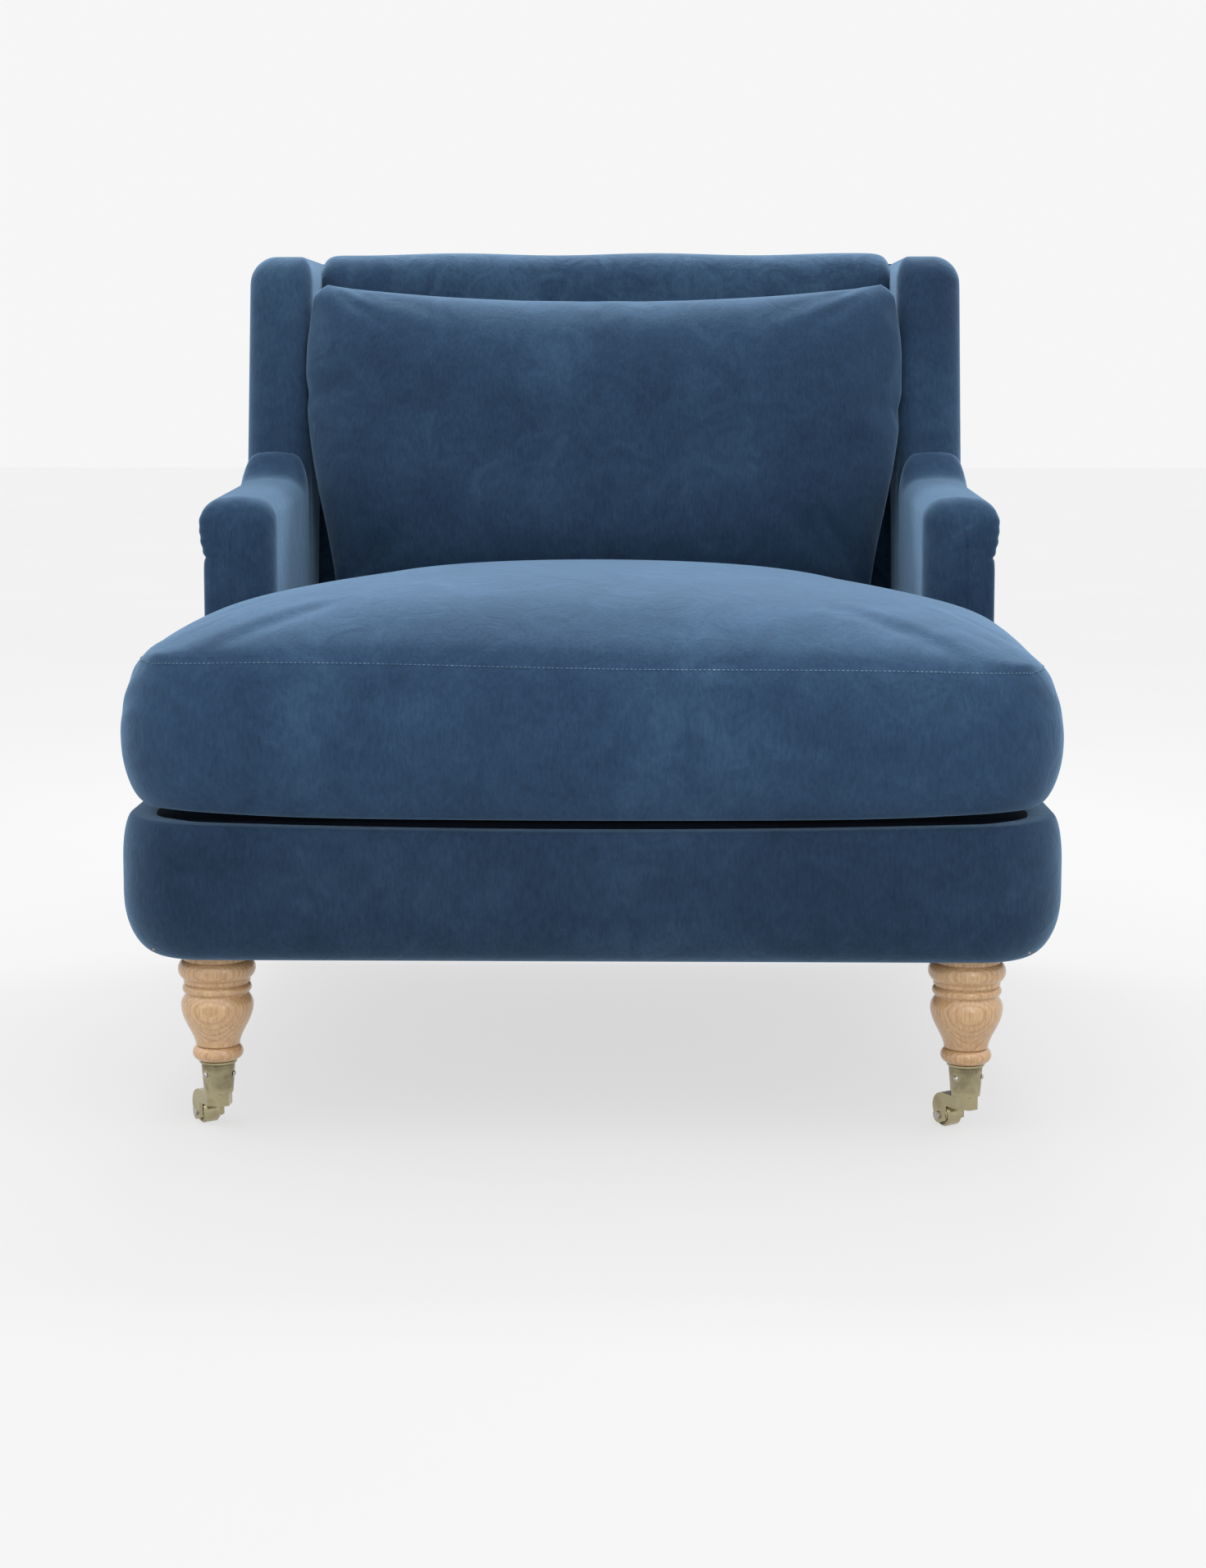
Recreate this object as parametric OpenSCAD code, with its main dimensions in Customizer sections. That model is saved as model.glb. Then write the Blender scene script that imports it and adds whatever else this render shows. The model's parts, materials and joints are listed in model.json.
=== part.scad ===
// Upholstered armchair: hardwood frame, sprung seat, padded base, low arms and winged back,
// a loose T-shaped seat cushion, a loose back cushion, turned front legs on cup casters.
// Millimetres, +Z up, origin on the floor under the centre of the chair, the front faces -Y.

/* [Overall] */
// Width over the seat front, the widest part of the chair
overall_w = 928; // [840:1:1120]
// Depth from the front of the seat cushion to the top of the back
overall_d = 1040; // [860:1:1250]
// Height from the floor to the top of the back
overall_h = 896; // [780:1:1060]

/* [Base] */
// Clear height under the base
leg_h = 182; // [150:1:215]
// Height of the upholstered base band
base_h = 138; // [115:1:170]
// How far the seat cushion overhangs the base in front
base_set_back = 8; // [2:1:20]
// Radius of the front corners of the base, seen from above
base_corner_r = 85; // [70:1:100]
// Thickness of the padding in front of the rails
base_pad_t = 32; // [26:1:40]
// Thickness of the hardwood rails
rail_t = 22; // [18:1:28]
// Thickness of the padded deck under the seat cushion
deck_t = 14; // [8:1:20]
// Thickness of a velvet cover with its lining
cover_t = 3; // [2:0.5:4]

/* [Arms] */
// Distance from the front of the chair to the front of the arms
arm_set_back = 445; // [360:1:540]
// Thickness of an arm, and of a wing
arm_t = 80; // [72:1:100]
// Height of the arm top at its front
arm_h = 610; // [560:1:660]
// How far the arm top climbs towards the back, in degrees
arm_slope = 2.5; // [0:0.5:5]
// How far the outside of an arm stands in from the widest part of the base
arm_inset = 21; // [12:1:30]
// Radius of the arm's outer roll
arm_roll_r = 27; // [22:1:30]
// Radius of the arm's inner top edge
arm_inner_r = 26; // [14:1:34]
// How far the roll stands out past the outside of the arm
arm_roll_out = 4; // [2:1:8]
// Height of the arm's cover on its outside, from its top down to the outside panel
arm_groove = 66; // [58:1:80]

/* [Back] */
// Backward lean of the back, in degrees
back_rake = 10; // [5:1:14]
// Thickness of the back between the wings
back_t = 130; // [125:1:160]
// How far the wings stand ahead of the inside of the back
wing_depth = 100; // [70:1:125]
// Thickness of the foam on the inside of the back
back_pad_t = 70; // [50:1:72]

/* [Cushions] */
// Height of the seat cushion's sides
seat_side_h = 145; // [110:1:170]
// How far the seat cushion's top is crowned above its side seams
seat_crown = 68; // [40:1:82]
// Gap between a loose cushion and what is round it
cushion_gap = 3; // [1:0.5:8]
// Height of the back cushion
back_cushion_h = 400; // [330:1:420]
// Thickness of the back cushion at its middle
back_cushion_t = 150; // [110:1:170]
// Length of the zip in the rear of the seat cushion
zip_l = 520; // [360:1:600]

/* [Legs and casters] */
// Distance of the front leg axis from the side of the base
front_leg_in = 93; // [88:1:110]
// Height of a caster from the floor to its lip
caster_h = 70; // [66:1:76]
// Radius of a caster's lip
cup_lip_r = 18.7; // [18:0.1:21]
// Radius of a caster wheel
wheel_r = 12; // [10:0.5:13]
// Width of a caster wheel
wheel_w = 18; // [12:0.5:22]
// Distance from a caster's pivot to its axle
trail = 25; // [22:0.5:30]
// Direction that the casters trail in, seen from above, 90 is straight back
trail_dir = 124; // [0:1:359]

/* [Hidden] */

velvet = [0.17, 0.27, 0.40];
foam = [0.93, 0.90, 0.80];
beech = [0.80, 0.66, 0.47];
oak = [0.76, 0.60, 0.42];
steel = [0.62, 0.63, 0.65];
antique_brass = [0.62, 0.56, 0.38];
black_cloth = [0.10, 0.10, 0.11];

// clearance between layers that lie on each other
gap = 0.5;

// heights
base_top = leg_h + base_h;
dust_t = 1.5;
dust_inset = 30;
plate_t = 3;
rail_bottom = leg_h + dust_t + plate_t;
deck_bottom = base_top - deck_t;
rail_top = deck_bottom - 12;

// widths, all half widths from the middle of the chair
base_half = overall_w / 2;
arm_half = base_half - arm_inset;
inner_half = arm_half - arm_t;
rail_half = base_half - cover_t - gap - base_pad_t;
panel_half = arm_half - cover_t - gap;

// depths
front_y = -overall_d / 2;
base_front = front_y + base_set_back;
rail_front = base_front + cover_t + gap + base_pad_t;
arm_front = front_y + arm_set_back;
rear_rail_back = out_y(leg_h) - cover_t - 4;
rear_rail_front = rear_rail_back - rail_t;

// posts and boards inside the arms, wings and back
arm_pad_t = 17;
post_out = rail_half;
post_in = inner_half + cover_t + gap + arm_pad_t + 2;
post_t = 30;
groove_z = arm_h - arm_groove;
arm_climb = tan(arm_slope);
arm_rail_t = 20;
arm_rail_top = arm_h - cover_t - gap - 26;
frame_top = overall_h - 28;
back_post_t = 45;

// cushions
seat_bottom = base_top + 1;
seat_seam = seat_bottom + seat_side_h;
seat_top = seat_seam + seat_crown;
seat_back_y = in_y(seat_bottom) - cushion_gap;
ear_half = base_half - cushion_gap;
stem_half = inner_half - cushion_gap;
ear_back = arm_front - cushion_gap;
zip_z = seat_bottom + seat_side_h / 2;
zip_h = 22;
crown_run = 95;
crown_back_run = 55;
crown_shoulder = 0.35;
back_cushion_half = inner_half - cushion_gap - 4;
back_cushion_mid = back_cushion_t / 2 + cushion_gap;
back_cushion_rim = 6;
back_cushion_bottom = seat_seam + cushion_gap;
// the flat strip at the rear of the seat cushion that the back cushion stands on
ledge = back_cushion_mid + back_cushion_rim + 8;

// legs
boss_r = 7;
front_leg_x = base_half - front_leg_in;
front_leg_y = rail_front + rail_t + boss_r + 4;
rear_leg_w = 44;
rear_leg_foot = 27;
rear_leg_x = rail_half - rail_t - rear_leg_w / 2 + 4;
rear_leg_y = rear_rail_front - rear_leg_w / 2 + 4;
rear_leg_rake = 24;
glide_h = 4;
block_l = 112;
bolt_r = 4;
bolt_fit = 0.05;
bolt_in_leg = 42;
bolt_above = 22;
boss_h = 14;

// casters
horn_top = caster_h - 33.6;
horn_t = 12.5;
horn_bottom = horn_top - horn_t;
cup_bottom_z = horn_top + 0.5;
cup_floor_z = cup_bottom_z + 6;
cup_wall = 1.8;
cup_foot_r = 14.6;
cup_lip_h = 4;
tenon_r = cup_foot_r - cup_wall;
tenon_fit = 0.1;
tenon_h = 24;
cup_screws = 3;
cup_screw_turn = 228;
screw_r = 1.5;
screw_in = 5;
screw_z = caster_h - cup_lip_h - 10;
screw_head_at = cup_foot_r + (cup_lip_r - 1.9 - cup_foot_r) * (screw_z - cup_bottom_z)
  / (caster_h - cup_lip_h - cup_bottom_z);
pin_r = 3.5;
pin_fit = 0.05;
pin_head_r = 6;
pin_head_h = 2.4;
axle_r = 2.2;
axle_fit = 0.05;
horn_gap = 1;
cheek_t = 3.6;
cheek_r = 7.5;
slot_half = wheel_w / 2 + horn_gap;
horn_half = slot_half + cheek_t;
horn_back = 13;
nose_half = 5;
nose_run = 11;
shoulder_r = 14.5;

// the outside of the back, its inside, and the front of the wings, at height z
function out_y(z) = overall_d / 2 - (overall_h - z) * tan(back_rake);
function in_y(z) = out_y(z) - back_t;
function wing_y(z) = in_y(z) - wing_depth;

// the four corners of a slab that leans with the back, between y = out_y + a and out_y + b
function raked(a, b, z0, z1) = [
  [out_y(z0) + a, z0], [out_y(z0) + b, z0], [out_y(z1) + b, z1], [out_y(z1) + a, z1]
];

// a side view outline of [y, z] points, carried across from x0 to x1
module side_slab(points, x0, x1) {
  translate([x0, 0, 0])
    rotate([90, 0, 90])
      linear_extrude(x1 - x0)
        polygon(points);
}

module box(x0, x1, y0, y1, z0, z1) {
  translate([x0, y0, z0]) cube([x1 - x0, y1 - y0, z1 - z0]);
}

// the right-hand form is drawn at +X, and the left-hand one is its mirror image
module on_side(side) {
  if (side > 0) children();
  else mirror([1, 0, 0]) children();
}

module at_front_legs() {
  for (side = [-1, 1]) translate([side * front_leg_x, front_leg_y, 0]) children();
}

module at_rear_legs() {
  for (side = [-1, 1]) translate([side * rear_leg_x, rear_leg_y, 0]) children();
}

// ---------------------------------------------------------------- hardwood frame

module front_rail() {
  color(beech) box(-rail_half, rail_half, rail_front, rail_front + rail_t, rail_bottom, rail_top);
}

module rear_rail() {
  color(beech)
    box(-rail_half + rail_t, rail_half - rail_t, rear_rail_front, rear_rail_back, rail_bottom, rail_top);
}

module side_rail(side) {
  color(beech)
    on_side(side)
      box(rail_half - rail_t, rail_half, rail_front + rail_t, rear_rail_back, rail_bottom, rail_top);
}

// a triangular block glued and screwed into each corner of the rails
module corner_block(leg_x, leg_y, corner_x, corner_y, toward_y) {
  difference() {
    translate([0, 0, rail_bottom])
      linear_extrude(rail_top - rail_bottom - 20)
        polygon([
          [corner_x, corner_y],
          [corner_x - block_l, corner_y],
          [corner_x, corner_y + toward_y * block_l]
        ]);
    translate([leg_x, leg_y, rail_bottom - 1]) cylinder(r = boss_r + 1, h = boss_h + 12, $fn = 32);
  }
}

module corner_blocks() {
  inner_x = rail_half - rail_t;
  color(beech)
    for (side = [-1, 1]) on_side(side) {
      corner_block(front_leg_x, front_leg_y, inner_x, rail_front + rail_t, 1);
      corner_block(rear_leg_x, rear_leg_y, inner_x, rear_rail_front, -1);
    }
}

module arm_post(side) {
  front = arm_front + cover_t + gap + 16;
  color(beech) on_side(side) box(post_in, post_out, front, front + post_t, rail_top, arm_rail_top);
}

// the board under the arm top, butted between the arm post and the wing post
module arm_rail(side) {
  front = arm_front + cover_t + gap + 16 + post_t;
  low = arm_rail_top - arm_rail_t;
  back = cover_t + gap + 20;
  color(beech)
    on_side(side)
      side_slab([
        [front, low], [wing_y(low) + back, low],
        [wing_y(arm_rail_top) + back, arm_rail_top], [front, arm_rail_top]
      ], post_in, post_out);
}

module wing_post(side) {
  a = -back_t - wing_depth + cover_t + gap + 20;
  color(beech) on_side(side) side_slab(raked(a, a + post_t, rail_top, frame_top), post_in, post_out);
}

module back_post(side) {
  b = -cover_t - gap;
  color(beech)
    on_side(side)
      side_slab(raked(b - back_post_t, b, rail_top, frame_top), post_in, post_out);
}

module back_cross_rail(z0, z1) {
  b = -cover_t - gap;
  color(beech) side_slab(raked(b - post_t, b, z0, z1), -post_in, post_in);
}

module back_top_rail() {
  back_cross_rail(frame_top - 60, frame_top);
}

module back_lower_rail() {
  back_cross_rail(rail_top + 50, rail_top + 100);
}

// ---------------------------------------------------------------- springs, webbing, deck

spring_wire = 4.1;
spring_count = 5;
spring_run = 36;
spring_z = deck_bottom - spring_wire / 2 - 1.5;
spring_span = 2 * (inner_half - 60);
spring_front = rail_front + rail_t / 2;
spring_reach = rear_rail_front + rail_t - 9;
spring_loops = floor((spring_reach - spring_front) / 37);
spring_pitch = floor(5 * (spring_reach - spring_front) / spring_loops) / 5;
spring_back = spring_front + spring_loops * spring_pitch;

// flat serpentine wire: straight runs across the chair, joined by half turns
module serpentine_spring() {
  for (i = [0:spring_loops]) {
    turn = i % 2 == 0 ? 1 : -1;
    translate([0, i * spring_pitch, 0])
      rotate([0, 90, 0])
        cylinder(d = spring_wire, h = spring_run, center = true, $fn = 24);
    if (i < spring_loops)
      translate([turn * spring_run / 2, (i + 0.5) * spring_pitch, 0])
        rotate([0, 0, -turn * 90])
          rotate_extrude(angle = 180, $fn = 24)
            translate([spring_pitch / 2, 0])
              circle(d = spring_wire, $fn = 24);
  }
}

module at_springs() {
  step = spring_span / (spring_count - 1);
  for (i = [0:spring_count - 1]) translate([-spring_span / 2 + i * step, 0, 0]) children();
}

module seat_springs() {
  color(steel) at_springs() translate([0, spring_front, spring_z]) serpentine_spring();
}

module spring_clip() {
  w = 22;
  l = 16;
  difference() {
    box(-w / 2, w / 2, -l / 2, l / 2, rail_top, deck_bottom - gap);
    translate([0, 0, spring_z]) rotate([0, 90, 0])
      cylinder(r = spring_wire / 2 + 0.15, h = w + 2, center = true, $fn = 24);
  }
}

module spring_clips() {
  color(steel)
    at_springs()
      for (y = [spring_front, spring_back]) translate([0, y, 0]) spring_clip();
}

// elastic straps stretched between the back posts, behind the back's foam
module back_webbing() {
  strap_w = 50;
  strap_t = 2;
  strap_count = 4;
  b = -cover_t - gap - back_post_t;
  first = rail_top + 140;
  step = (frame_top - 75 - first - strap_w) / (strap_count - 1);
  color([0.22, 0.20, 0.19])
    for (i = [0:strap_count - 1])
      side_slab(raked(b - strap_t, b, first + i * step, first + i * step + strap_w), -post_in - 24, post_in + 24);
}

module deck_pad() {
  color(velvet)
    translate([0, 0, deck_bottom])
      linear_extrude(deck_t)
        union() {
          base_plan(cover_t + gap, arm_front - cover_t - gap);
          translate([-inner_half + gap, arm_front - 20])
            square([2 * (inner_half - gap), in_y(deck_bottom) - gap - arm_front + 20]);
        }
}

// ---------------------------------------------------------------- base

// the plan of the base, its outline moved in by inset, from its front back to rear_y
module base_plan(inset, rear_y) {
  half = base_half - inset;
  front = base_front + inset;
  r = base_corner_r - inset;
  union() {
    translate([-half, front + r]) square([2 * half, rear_y - front - r]);
    translate([-half + r, front]) square([2 * (half - r), r + 1]);
    for (side = [-1, 1]) translate([side * (half - r), front + r]) circle(r, $fn = 96);
  }
}

// the base as a block: wide ahead of the arms, flush with the arms behind them
module base_block(inset, z0, z1) {
  translate([0, 0, z0]) linear_extrude(z1 - z0) base_plan(inset, arm_front - inset);
  rear = [
    [arm_front - inset - 1, z0], [out_y(z0) - cover_t - gap, z0],
    [out_y(z1) - cover_t - gap, z1], [arm_front - inset - 1, z1]
  ];
  side_slab(rear, -arm_half + inset, arm_half - inset);
}

module base_padding() {
  z0 = leg_h + dust_t + gap;
  z1 = deck_bottom - gap;
  color(foam)
    difference() {
      base_block(cover_t + gap, z0, z1);
      box(-rail_half, rail_half, rail_front, overall_d, z0 - 1, z1 + 1);
      box(-rail_half - 5, rail_half + 5, rail_front - 5, overall_d, z0 - 1, rail_bottom);
    }
}

module base_cover() {
  strip_front = arm_front - cover_t;
  z1 = base_top - gap;
  color(velvet)
    union() {
      translate([0, 0, leg_h])
        linear_extrude(z1 - leg_h)
          difference() {
            base_plan(0, arm_front);
            base_plan(cover_t, strip_front);
            translate([-arm_half + cover_t, strip_front - 1])
              square([2 * (arm_half - cover_t), cover_t + 2]);
          }
      for (side = [-1, 1]) on_side(side)
        side_slab([
          [strip_front, leg_h], [out_y(leg_h) - cover_t - gap, leg_h],
          [out_y(z1) - cover_t - gap, z1], [strip_front, z1]
        ], arm_half - cover_t, arm_half);
    }
}

module dust_cover() {
  color(black_cloth)
    difference() {
      base_block(dust_inset, leg_h, leg_h + dust_t);
      at_front_legs() translate([0, 0, leg_h - 1]) cylinder(r = bolt_r + 2, h = 4, $fn = 32);
      at_rear_legs() translate([0, 0, leg_h - 1]) cylinder(r = bolt_r + 2, h = 4, $fn = 32);
    }
}

// ---------------------------------------------------------------- arms

// the end view of an arm at its front, moved in by inset, its lower part reaching out to low_out
module arm_section(inset, low_out) {
  top = arm_h - inset;
  inner = inner_half + inset;
  inner_r = arm_inner_r - inset;
  roll_x = arm_half + arm_roll_out - arm_roll_r;
  bottom = deck_bottom - 60;
  union() {
    translate([roll_x, arm_h - arm_roll_r]) circle(arm_roll_r - inset, $fn = 64);
    translate([inner + inner_r, top - inner_r]) circle(inner_r, $fn = 64);
    translate([inner + inner_r, arm_h - arm_roll_r]) square([roll_x - inner - inner_r, arm_roll_r - inset]);
    translate([inner, bottom]) square([roll_x - inner, top - inner_r - bottom]);
    polygon([
      [roll_x, arm_h - arm_roll_r], [arm_half + arm_roll_out - inset, arm_h - arm_roll_r],
      [panel_half - inset, groove_z - inset], [roll_x, groove_z - inset]
    ]);
    translate([inner, bottom]) square([low_out - inner, groove_z - inset - bottom]);
  }
}

// an arm from its front face back to the wing's leaning front, its top climbing at arm_slope
module arm_block(inset, low_out, z0, front) {
  reach = wing_y(overall_h) - arm_front + 120;
  intersection() {
    translate([0, arm_front, arm_h])
      rotate([90 + arm_slope, 0, 0])
        translate([0, -arm_h, -reach])
          linear_extrude(reach + 60)
            arm_section(inset, low_out);
    side_slab([
      [front, z0], [wing_y(z0) - gap, z0],
      [wing_y(overall_h) - gap, overall_h], [front, overall_h]
    ], 0, 2 * overall_w);
  }
}

module arm_pad(side) {
  front = arm_front + cover_t + gap;
  void_in = inner_half + cover_t + gap + arm_pad_t;
  color(foam)
    on_side(side)
      difference() {
        arm_block(cover_t + gap, panel_half - gap, deck_bottom, front);
        box(void_in, post_out + 2, front + 14, overall_d, 0, arm_rail_top + 1);
        box(void_in, overall_w, front + 14, overall_d, 0, groove_z);
      }
}

module arm_cover(side) {
  color(velvet)
    on_side(side)
      difference() {
        arm_block(0, panel_half, deck_bottom, arm_front);
        arm_block(cover_t, overall_w, 0, arm_front + cover_t);
      }
}

// the rear end of the outside arm's top edge, where its climbing line meets the outside back
function groove_rear_y(lean, climb) =
  (overall_d / 2 - overall_h * lean - cover_t - gap + lean * (groove_z - gap - arm_front * climb))
  / (1 - lean * climb);

module outside_arm(side) {
  z0 = base_top;
  rear_y = groove_rear_y(tan(back_rake), arm_climb);
  color(velvet)
    on_side(side)
      side_slab([
        [arm_front, z0], [out_y(z0) - cover_t - gap, z0],
        [rear_y, groove_z - gap + (rear_y - arm_front) * arm_climb], [arm_front, groove_z - gap]
      ], arm_half - cover_t, arm_half);
}

// ---------------------------------------------------------------- wings and back

module wing_pad(side) {
  a = -back_t - wing_depth + cover_t + gap;
  top = overall_h - cover_t - gap;
  void_in = inner_half + cover_t + gap + arm_pad_t;
  color(foam)
    on_side(side)
      difference() {
        side_slab(raked(a, -back_t - gap, deck_bottom, top), inner_half + cover_t + gap, panel_half - gap);
        side_slab(raked(a + 18, 0, 0, frame_top + 1), void_in, overall_w);
        box(void_in, overall_w, 0, overall_d, 0, arm_rail_top + 1);
      }
}

module wing_cover(side) {
  a = -back_t - wing_depth;
  color(velvet)
    on_side(side)
      difference() {
        side_slab(raked(a, -cover_t - gap, deck_bottom, overall_h), inner_half, arm_half);
        side_slab(raked(a + cover_t, 0, 0, overall_h - cover_t), inner_half + cover_t, arm_half - cover_t);
        side_slab(raked(-back_t - gap, 0, 0, overall_h - cover_t), 0, arm_half - cover_t);
        side_slab([
          [arm_front, 0], [overall_d, 0],
          [overall_d, groove_z + (overall_d - arm_front) * arm_climb], [arm_front, groove_z]
        ], arm_half - cover_t - gap, overall_w);
        box(post_in - 2, post_out + 2, 0, overall_d, 0, arm_rail_top + 1);
      }
}

module back_pad() {
  a = -back_t + cover_t + gap;
  top = overall_h - cover_t - gap;
  color(foam)
    union() {
      side_slab(raked(a, -back_t + back_pad_t, deck_bottom, top), -inner_half + gap, inner_half - gap);
      side_slab(raked(-back_t + back_pad_t - 1, -cover_t - gap, frame_top + 1, top), -inner_half + gap, inner_half - gap);
    }
}

module inside_back_cover() {
  color(velvet)
    difference() {
      side_slab(raked(-back_t, -cover_t - gap, deck_bottom, overall_h), -inner_half + gap, inner_half - gap);
      side_slab(raked(-back_t + cover_t, 0, 0, overall_h - cover_t), -overall_w, overall_w);
    }
}

module outside_back_cover() {
  color(velvet) side_slab(raked(-cover_t, 0, leg_h, overall_h), -arm_half, arm_half);
}

// ---------------------------------------------------------------- legs

// half outline of a turned front leg: its heights are measured down from the base, except the
// neck and the lower bead, which are measured up from the shoulder on the caster's lip
module front_leg_outline() {
  neck_z = caster_h + 16;
  vase_z = leg_h - 55.5;
  groove_z0 = leg_h - 44.6;
  difference() {
    union() {
      translate([0, caster_h - tenon_h]) square([tenon_r, tenon_h + 1]);
      // foot and lower bead
      polygon([[0, caster_h], [17.5, caster_h], [18.6, caster_h + 4], [20, neck_z], [0, neck_z]]);
      translate([17.6, caster_h + 7.8]) circle(7.5, $fn = 48);
      // vase: an ogee from the neck to its widest place, then a quarter round up to the groove
      polygon(concat(
        [[0, neck_z]],
        [for (t = [0:0.08:1]) [21.8 + 14 * (0.5 - 0.5 * cos(180 * pow(t, 0.85))), neck_z + t * (vase_z - neck_z)]],
        [for (t = [0.1:0.15:1]) [31 + 4.8 * cos(90 * t), vase_z + t * (groove_z0 - vase_z)]],
        [[31, groove_z0], [0, groove_z0]]
      ));
      // small ring between two grooves
      translate([0, leg_h - 45]) square([31, 15]);
      translate([29.5, leg_h - 39]) circle(4.7, $fn = 40);
      // large ring and collar
      translate([0, leg_h - 32.6]) square([33, 32.6]);
      translate([26.9, leg_h - 19.5]) circle(11.4, $fn = 64);
      translate([0, leg_h - 6]) square([34, 6]);
    }
    translate([-100, 0]) square([100, 400]);
  }
}

module front_leg(side) {
  color(oak)
    translate([side * front_leg_x, front_leg_y, 0])
      difference() {
        rotate_extrude($fn = 96) front_leg_outline();
        translate([0, 0, leg_h - bolt_in_leg]) cylinder(r = bolt_r + bolt_fit, h = bolt_in_leg + 1, $fn = 32);
        at_cup_screws() cylinder(r = screw_r + 0.1, h = tenon_r, $fn = 24);
      }
}

// square, tapered, and raked backwards
module rear_leg(side) {
  top = rear_leg_w / 2;
  foot = rear_leg_foot / 2;
  z0 = glide_h;
  color(oak)
    translate([side * rear_leg_x, rear_leg_y, 0])
      difference() {
        intersection() {
          side_slab([
            [rear_leg_rake - foot, z0], [rear_leg_rake + foot, z0], [top, leg_h], [-top, leg_h]
          ], -top - 1, top + 1);
          rotate([90, 0, 0])
            linear_extrude(200, center = true)
              polygon([[-foot, z0], [foot, z0], [top, leg_h], [-top, leg_h]]);
        }
        translate([0, 0, leg_h - bolt_in_leg]) cylinder(r = bolt_r + bolt_fit, h = bolt_in_leg + 1, $fn = 32);
      }
}

module leg_bolt() {
  translate([0, 0, leg_h - bolt_in_leg + 1])
    cylinder(r = bolt_r, h = bolt_in_leg - 1 + bolt_above, $fn = 32);
}

module leg_bolts() {
  color(steel) {
    at_front_legs() leg_bolt();
    at_rear_legs() leg_bolt();
  }
}

// a steel plate with a threaded boss, screwed up under the corner block
module leg_plate(l, w) {
  difference() {
    union() {
      translate([-l / 2, -w / 2, leg_h + dust_t]) cube([l, w, plate_t]);
      translate([0, 0, leg_h + dust_t]) cylinder(r = boss_r, h = plate_t + boss_h, $fn = 32);
    }
    translate([0, 0, leg_h]) cylinder(r = bolt_r + bolt_fit, h = boss_h + 10, $fn = 32);
  }
}

module leg_plates() {
  color(steel) {
    at_front_legs() leg_plate(54, 44);
    at_rear_legs() leg_plate(40, 40);
  }
}

module rear_glides() {
  color(black_cloth)
    at_rear_legs()
      translate([0, rear_leg_rake, 0]) {
        cylinder(r = rear_leg_foot / 2 - 2.5, h = glide_h, $fn = 48);
      }
}

// ---------------------------------------------------------------- casters

module at_caster(side) {
  translate([side * front_leg_x, front_leg_y, 0]) children();
}

// the cup's screw axes, each starting screw_in from the leg's axis and pointing outwards
module at_cup_screws() {
  for (i = [0:cup_screws - 1])
    rotate([0, 0, cup_screw_turn + i * 360 / cup_screws])
      translate([screw_in, 0, screw_z])
        rotate([0, 90, 0])
          children();
}

// local +X points along the trail
module trailing(side) {
  at_caster(side) rotate([0, 0, trail_dir]) children();
}

module caster_cup(side) {
  lip_z = caster_h - cup_lip_h;
  top_r = cup_lip_r - 1.9;
  color(antique_brass)
    at_caster(side)
      difference() {
        rotate_extrude($fn = 96)
          polygon([
            [pin_r + pin_fit, cup_bottom_z], [cup_foot_r, cup_bottom_z], [top_r, lip_z],
            [cup_lip_r, lip_z + 1.6], [cup_lip_r, caster_h - 0.6], [cup_lip_r - 0.6, caster_h],
            [tenon_r + tenon_fit, caster_h], [tenon_r + tenon_fit, cup_floor_z], [pin_r + pin_fit, cup_floor_z]
          ]);
        at_cup_screws() cylinder(r = screw_r + 0.1, h = 30, $fn = 24);
      }
}

// round-headed wood screws through each cup into the leg's tenon
module caster_screws() {
  color(steel)
    for (side = [-1, 1]) at_caster(side) at_cup_screws() {
      cylinder(r = screw_r, h = screw_head_at - screw_in + 0.5, $fn = 24);
      translate([0, 0, screw_head_at - screw_in + 0.4]) cylinder(r1 = 2.9, r2 = 1.7, h = 1.3, $fn = 32);
    }
}

// a solid horn: a flat arm with a tapered nose under the cup, and two cheeks that hook down round
// the wheel
module caster_horn(side) {
  axle_z = wheel_r;
  color(antique_brass)
    trailing(side)
      difference() {
        union() {
          translate([0, 0, horn_bottom])
            linear_extrude(horn_t)
              polygon([
                [-horn_back, -nose_half], [-horn_back + nose_run, -horn_half], [trail - 4, -horn_half],
                [trail - 4, horn_half], [-horn_back + nose_run, horn_half], [-horn_back, nose_half]
              ]);
          rotate([90, 0, 0])
            translate([trail, axle_z, -horn_half])
              cylinder(r = cheek_r, h = 2 * horn_half, $fn = 64);
          rotate([90, 0, 0])
            translate([trail - 6, horn_top - shoulder_r, -horn_half])
              cylinder(r = shoulder_r, h = 2 * horn_half, $fn = 64);
        }
        // room for the wheel
        rotate([90, 0, 0])
          translate([trail, axle_z, -slot_half])
            cylinder(r = wheel_r + horn_gap, h = 2 * slot_half, $fn = 64);
        translate([trail, -slot_half, -1]) cube([40, 2 * slot_half, 60]);
        translate([trail - wheel_r - horn_gap, -slot_half, -1]) cube([40, 2 * slot_half, axle_z + 1]);
        // the cheeks are cut away low down ahead of the axle
        translate([-20, -30, -1]) cube([20 + trail - 8, 60, horn_bottom + 1]);
        translate([trail - 8, -30, -1]) cube([40, 60, axle_z - cheek_r + 1]);
        cylinder(r = pin_r, h = 60, $fn = 48);
        rotate([90, 0, 0]) translate([trail, axle_z, -30]) cylinder(r = axle_r, h = 60, $fn = 32);
      }
}

// the pivot, held in the horn and turning in the cup's base, with its head inside the cup
module caster_pin(side) {
  color(steel)
    at_caster(side) {
      translate([0, 0, horn_bottom + 0.5]) cylinder(r = pin_r, h = cup_floor_z + 1 - horn_bottom, $fn = 48);
      translate([0, 0, cup_floor_z + 0.3]) cylinder(r = pin_head_r, h = pin_head_h, $fn = 48);
    }
}

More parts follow.
